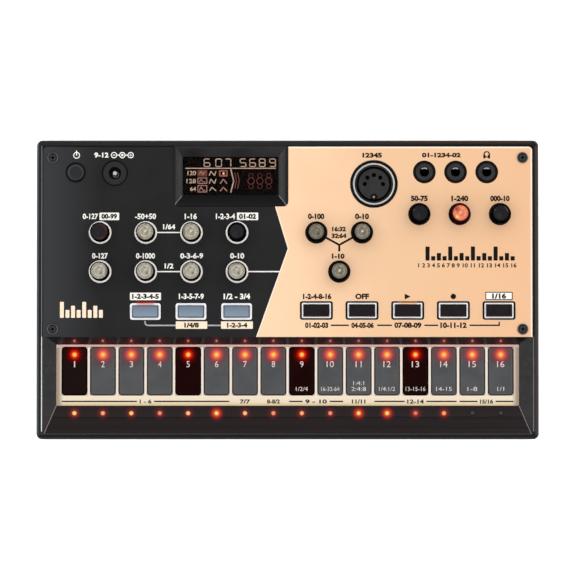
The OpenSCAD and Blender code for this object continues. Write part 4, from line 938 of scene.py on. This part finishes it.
# Bottom and top of each row of figures, and each text with its left and right
FIGURES = [
    (27.1, 29.3, ("0-127", -78.8, -72.9), ("-50+50", -58.7, -50.6), ("1-16", -39.6, -34.9),
     ("1-2-3-4", -27.6, -20.2), ("0-100", 7.8, 14.1), ("0-10", 25.9, 31.3)),
    (11.9, 14.1, ("0-127", -75.2, -69.1), ("0-1000", -58.3, -51.0), ("0-3-6-9", -41.3, -32.5),
     ("0-10", -22.1, -16.7)),
    (11.9, 13.9, ("1-10", 17.0, 21.9)), (23.2, 25.2, ("1/64", -47.9, -43.2)),
    (8.1, 10.1, ("1/2", -47.3, -43.9)),
    (22.4, 24.3, ("16:32", 17.1, 22.4)), (19.8, 21.7, ("32:64", 16.9, 22.6)),
    (34.0, 36.2, ("50-75", 47.4, 53.9), ("1-240", 63.0, 69.5), ("000-10", 77.9, 85.4)),
    (-3.7, -1.5, ("1-3-5-7-9", -41.8, -32.2), ("1/2 - 3/4", -24.6, -14.4), ("1-2-4-8-16", 5.9, 16.8),
     ("OFF", 26.0, 31.3)),
    (-14.8, -12.6, ("01-02-03", 6.7, 15.6), ("04-05-06", 24.5, 33.1), ("07-08-09", 41.0, 51.4),
     ("10-11-12", 58.7, 68.8)),
    (50.8, 52.7, ("12345", 28.8, 36.3)), (50.9, 52.7, ("01-1234-02", 51.7, 66.6)),
    (50.8, 52.8, ("9-12", -74.4, -68.9)),
]
for y0, y1, *row in FIGURES:
    for text, x0, x1 in row:
        tone, bold = ("white", 0.035) if x0 < 0 else ("black", 0.055)
        figures(ink[tone], text, x0, x1, y0, y1, Z_PLATE, bold=bold)

# Boxes with black figures on them
for text, x0, x1, y0 in (("00-99", -72.4, -64.8, 26.75), ("01-02", -19.5, -11.3, 26.75),
                         ("1-2-3-4-5", -60.6, -48.7, -4.05)):
    slab(ink["white"], x0, y0, x1, y0 + 2.9, Z_PLATE, Z_SECOND, 0.3)
    figures(ink["black"], text, x0 + 0.8, x1 - 0.8, y0 + 0.45, y0 + 2.45, Z_SECOND, bold=0.05)
for text, x0, x1, left, right in (("1/4/8", -43.0, -30.9, -39.7, -34.1),
                                  ("1-2-3-4", -25.6, -13.35, -23.3, -15.5)):
    slab(ink["peach"], x0, -15.05, x1, -12.2, Z_PLATE, Z_SECOND, 0.2)
    figures(ink["black"], text, left, right, -14.6, -12.7, Z_SECOND, bold=0.05)
slab(ink["black"], 76.0, -4.0, 86.5, -0.85, Z_PLATE, Z_SECOND, 0.3)
slab(ink["white"], 76.35, -3.65, 86.15, -1.2, Z_SECOND, Z_SECOND + PRINT, 0.15)
figures(ink["black"], "1/16", 78.6, 84.0, -3.5, -1.4, Z_SECOND + PRINT, bold=0.05)

# Rings round the knobs
for name in KNOBS:
    x, y = middle_of(name + "_knob")
    tone, outer = ("white", 4.35) if x < 0 else ("black", 4.3)
    ring_of(ink[tone], x, y, 3.7, outer, Z_PLATE)

# Frames round the buttons
for name in BUTTONS:
    x, y = middle_of(name + "_button")
    if x < 0:
        frame_of(ink["cool_white"], x - 5.88, y - 3.18, x + 5.88, y + 3.18, Z_PLATE, 0.8, 0.9)
    else:
        frame_of(ink["black"], x - 6.35, y - 3.58, x + 6.35, y + 3.58, Z_PLATE, 1.2, 0.9)
        frame_of(ink["cool_white"], x - 5.57, y - 2.93, x + 5.57, y + 2.93, Z_SECOND, 0.52, 0.4)

# Lines between the knobs, under the buttons and in the inlet's sign: ink, width, and the points of each
for tone, width, points in (
        ("white", 0.45, [(-50.2, 22.0), (-41.3, 22.0)]), ("white", 0.45, [(-50.2, 6.95), (-41.3, 6.95)]),
        ("white", 0.45, [(-15.1, 6.95), (-3.1, 6.95)]),
        ("black", 0.8, [(14.8, 20.0), (19.85, 17.2), (24.9, 20.0)]),
        ("black", 0.8, [(19.85, 17.2), (19.85, 14.7)]),
        ("grey", 0.55, [(-54.8, -12.0), (-54.8, -12.7), (-54.6, -13.3), (-53.9, -13.75), (-43.0, -13.75)]),
        ("grey", 0.55, [(-30.9, -13.75), (-25.6, -13.75)]), ("black", 0.55, [(16.6, -13.7), (23.5, -13.7)]),
        ("black", 0.55, [(34.4, -13.7), (40.1, -13.7)]), ("black", 0.55, [(52.6, -13.7), (57.8, -13.7)]),
        ("black", 0.55, [(69.9, -13.7), (81.5, -13.7)]), ("black", 0.55, [(81.3, -13.7), (81.3, -12.4)]),
        ("white", 0.35, [(-65.6, 51.8), (-64.8, 51.8)]), ("white", 0.35, [(-62.4, 51.8), (-61.6, 51.8)]),
        ("white", 0.3, [(-67.3, 51.8), (-66.3, 51.8)]), ("white", 0.3, [(-60.9, 51.8), (-59.9, 51.8)]),
        ("white", 0.3, [(-60.4, 51.3), (-60.4, 52.3)])):
    strokes(ink[tone], points, width, Z_PLATE)

# A triangle under the play button and a dot under the record button
arrow = [ink["black"].verts.new((x, y, Z_PLATE)) for x, y in ((45.0, -3.75), (47.3, -2.65), (45.0, -1.55))]
lift(ink["black"], [ink["black"].faces.new(arrow)], PRINT)
disc(ink["black"], 63.7, -2.6, 1.05, Z_PLATE)

# Power sign, rings of the inlet's sign, headphones
ring_of(ink["white"], -81.2, 51.7, 0.95, 1.3, Z_PLATE)
strokes(ink["white"], [(-81.2, 51.6), (-81.2, 53.5)], 0.4, Z_SECOND)
for x in (-66.8, -63.6, -60.4):
    ring_of(ink["white"], x, 51.8, 0.85, 1.2, Z_PLATE)
disc(ink["white"], -63.6, 51.8, 0.45, Z_PLATE)
ring_of(ink["black"], 76.6, 52.1, 0.8, 1.25, Z_PLATE)
for x in (75.3, 77.1):
    slab(ink["black"], x, 50.5, x + 0.8, 52.0, Z_PLATE, Z_SECOND, 0.15)

# Where a name would be: eight peach bars on the left, a run of sixteen steps with their numbers on the right
for i, height in enumerate((6.1, 3.0, 4.6, 3.0) * 2):
    slab(ink["peach"], -87.5 + 2.14 * i, -10.8, -86.0 + 2.14 * i, -10.8 + height, Z_PLATE, Z_SECOND, 0.2)
for i in STEPS:
    x = 53.0 + 2.18 * i
    height = 5.4 if i % 4 == 0 else 2.9 if i % 2 == 0 else 1.7
    slab(ink["black"], x, 11.2, x + 1.6, 11.2 + height, Z_PLATE, Z_SECOND, 0.2)
figures(ink["black"], " ".join(str(i + 1) for i in STEPS), 50.2, 88.0, 8.5, 10.2, Z_PLATE)

for tone, made in ink.items():
    piece(f"faceplate_{tone}_print", made, [INKS[tone]])

# ---------- printing on the pads and their plate ----------

bm = bmesh.new()
for i in STEPS:
    half = 0.24 if i == 0 else 0.66 if i < 9 else 1.15 if i == 10 else 1.4
    figures(bm, str(i + 1), lamp_x(i) - half, lamp_x(i) + half, -29.75, -27.4, Z_PAD, bold=0.0)
for y0, y1, *row in (
        (-38.9, -37.3, (8, "1/2/4", 2.3), (9, "16-32-64", 3.5), (10, "2:4:8", 2.8), (11, "1/4:1/2", 3.1),
         (12, "13-15-16", 3.8), (13, "14-15", 3.0), (14, "1-8", 1.9), (15, "1/1", 1.3)),
        (-36.6, -35.1, (10, "1:4:1", 2.1))):
    for i, text, half in row:
        figures(bm, text, lamp_x(i) - half, lamp_x(i) + half, y0, y1, Z_PAD, bold=0.0)
piece("pad_number_print", bm, [INKS["lit_white"]])

# Ranges of pads, each between two lines that run out to its first and last pad
bm = bmesh.new()
for first, last, text, half in ((0, 5, "1 - 6", 2.3), (8, 9, "9 - 10", 4.2), (11, 13, "12-14", 3.2),
                                (14, 15, "15/16", 2.5), (6, 6, "7/7", 2.0), (7, 7, "8-8/2", 2.5),
                                (10, 10, "11/11", 2.6)):
    middle = (lamp_x(first) + lamp_x(last)) / 2
    figures(bm, text, middle - half, middle + half, -43.75, -42.15, Z_BAR, bold=0.035)
    if first < last:
        strokes(bm, [(lamp_x(first) - 4.9, -42.9), (middle - half - 1.0, -42.9)], 0.5, Z_BAR)
        strokes(bm, [(middle + half + 1.0, -42.9), (lamp_x(last) + 4.9, -42.9)], 0.5, Z_BAR)
piece("pad_plate_print", bm, [INKS["black"]])

# ---------- display segments ----------

lit = {name: bmesh.new() for name in LIT}
for figure, x in zip("6075689", (-32.2, -27.7, -24.1, -18.3, -14.6, -10.9, -6.9)):
    bar_figure(lit["pale"], figure, x, 47.35, 2.2, 2.95, 0.34, Z_GLASS, GLOW)
for x0, y0, y1, text in ((-38.6, 44.0, 45.7, "120"), (-39.0, 40.9, 42.6, "128"), (-37.6, 37.9, 39.5, "64")):
    figures(lit["pale"], text, x0, -35.3, y0, y1, Z_GLASS, GLOW, bold=0.02)
slab(lit["brown"], -34.75, 43.5, -31.0, 46.1, Z_GLASS, Z_GLASS + GLOW, 0.2)
strokes(lit["pink"], [(-34.2, 44.2), (-33.4, 45.5), (-32.7, 44.2), (-31.8, 45.5)], 0.28, Z_GLASS + GLOW, GLOW)
for y0, y1 in ((40.7, 43.1), (37.4, 40.2)):
    frame_of(lit["tan"], -34.75, y0, -31.0, y1, Z_GLASS, 0.32, 0.2, GLOW)
frame_of(lit["amber"], -26.5, 43.5, -23.1, 46.0, Z_GLASS, 0.62, 0.5, GLOW)
disc(lit["hot"], -24.7, 44.7, 0.42, Z_GLASS, GLOW)

# The line under the figures, the waves of the rows, and the curves beside them: shade, width, and points
for tone, width, points in (
        ("pale", 0.34, [(-39.4, 46.7), (-4.6, 46.7)]),
        ("tan", 0.28, [(-34.1, 41.3), (-33.4, 42.4), (-32.5, 41.4), (-31.7, 41.5)]),
        ("tan", 0.28, [(-34.1, 38.0), (-33.4, 39.5), (-32.5, 38.1), (-31.7, 38.2)]),
        ("pale", 0.34, [(-30.2, 43.9), (-29.6, 45.6), (-28.2, 43.9), (-27.6, 45.6)]),
        ("pale", 0.34, [(-30.2, 40.8), (-29.6, 42.6), (-28.2, 40.8), (-27.6, 42.6)]),
        ("pale", 0.34, [(-30.1, 38.0), (-29.2, 39.4), (-27.6, 38.0)]),
        ("tan", 0.42, [(-26.0, 40.8), (-24.8, 42.5), (-23.4, 40.8)]),
        ("tan", 0.42, [(-26.0, 37.9), (-24.8, 39.4), (-23.4, 37.9)]),
        ("pale", 0.44, [(-21.95, 46.5), (-20.8, 41.8), (-21.95, 37.3)]),
        ("rust", 0.3, [(-20.35, 45.0), (-19.75, 41.8), (-20.35, 39.0)]),
        ("rust", 0.34, [(-19.3, 45.0), (-18.65, 41.8), (-19.3, 38.8)])):
    strokes(lit[tone], points, width, Z_GLASS, GLOW)
for x in (-14.1, -10.7, -7.3):
    ring_of(lit["dim_red"], x, 41.8, 1.05, 1.4, Z_GLASS, GLOW, 24)
    for y in (43.9, 39.7):
        ring_of(lit["dim_red"], x, y, 0.75, 0.95, Z_GLASS + GLOW, GLOW, 24)
for tone, made in lit.items():
    bmesh.ops.translate(made, vec=(0, 0.25, 0), verts=made.verts)
    piece(f"display_{tone}_segments", made, [LIT[tone]])

# ---------- inside ----------

INSIDE = {
    "case_screws": ZINC_STEEL, "board_screws": ZINC_STEEL, "display_glass": DISPLAY_GLASS,
    "display_backlight": ABS_WHITE, "touch_board": FR4_BOARD, "control_board": FR4_BOARD,
    "jack_board": FR4_BOARD, "board_parts": NYLON, "pot_housings": PHENOLIC, "key_switches": NYLON,
    "key_lamps": LENS_KEY,
    "power_switch": NYLON, "speaker_frame": ENAMELLED_STEEL, "speaker_cone": PULP, "speaker_magnet": FERRITE,
    "battery_cells": SLEEVE, "battery_contacts": NICKEL, "ribbon_cables": RIBBON, "hookup_wires": WIRE,
}
for node, made in INSIDE.items():
    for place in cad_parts[node].material_slots:
        place.link = "OBJECT"
        place.material = made.block

# ---------- floor, light and camera ----------

scene = bpy.context.scene
# A hair under the feet, so that floor and feet never share a plane
bm = bmesh.new()
bmesh.ops.create_grid(bm, x_segments=1, y_segments=1, size=4.0, matrix=Matrix.Translation((0, 0, -0.0001)))
mesh = bpy.data.meshes.new("floor")
bm.to_mesh(mesh)
bm.free()
floor = bpy.data.objects.new("floor", mesh)
scene.collection.objects.link(floor)

# Matt white board that the camera, metal and glass see as white, and that keeps the object's shadow
WHITE_BOARD = m = Finish("matt_white_board", "f4f4f4", 0.9, gloss=0.0)
m.paint(m.times(m.in_sight(), 0.6), "Emission Strength")
m.paint(linear("ffffff"), "Emission Color")
mesh.materials.append(WHITE_BOARD.block)

# A studio with white behind the object. Matt surfaces are lit mostly from straight above, and glossy ones
# reflect bright walls at the left and right under a dim ceiling.
scene.world = bpy.data.worlds.new("studio")
m = Nodes(scene.world)
way = m.parts(m.add("TexCoord").outputs["Generated"])
walls = m.calc("MULTIPLY_ADD", m.times(way[0], way[0]), 0.7, 0.28)
room = m.calc("ADD", walls, m.ease(way[1], 0, -1, 0.0, 0.25))
above = m.calc("MULTIPLY_ADD", m.calc("POWER", way[2], 4.0), 2.5, 0.26)
tone = m.blend(m.in_sight(), above, room)
tone = m.blend(m.add("LightPath").outputs["Is Camera Ray"], tone, "ffffff")
sky = m.add("Background", {"Color": tone, "Strength": 1.0})
m.add("OutputWorld", {"Surface": sky.outputs[0]})

# One soft panel light, aimed at the middle of the object
panel = bpy.data.lights.new("key_light", "AREA")
panel.shape = "SQUARE"
panel.size = 1.0
panel.energy = 1.5
key = bpy.data.objects.new("key_light", panel)
key.location = (0.5, 0.72, 1.45)
key.rotation_euler = (-key.location).to_track_quat("-Z", "Y").to_euler()
scene.collection.objects.link(key)

# A long lens that looks down on the faceplate from 1.7 m, two degrees off the upright
DISTANCE, RISE = 1.7, math.radians(88)
camera = bpy.data.objects.new("camera", bpy.data.cameras.new("camera"))
camera.data.lens = 276.9
camera.data.sensor_width = 36
camera.data.clip_start = 0.05
target = Vector((-0.00005, 0.00083, 0.0298))
camera.location = target + DISTANCE * Vector((0, -math.cos(RISE), math.sin(RISE)))
camera.rotation_euler = (target - camera.location).to_track_quat("-Z", "Y").to_euler()
scene.collection.objects.link(camera)
scene.camera = camera
scene.view_settings.view_transform = "Standard"
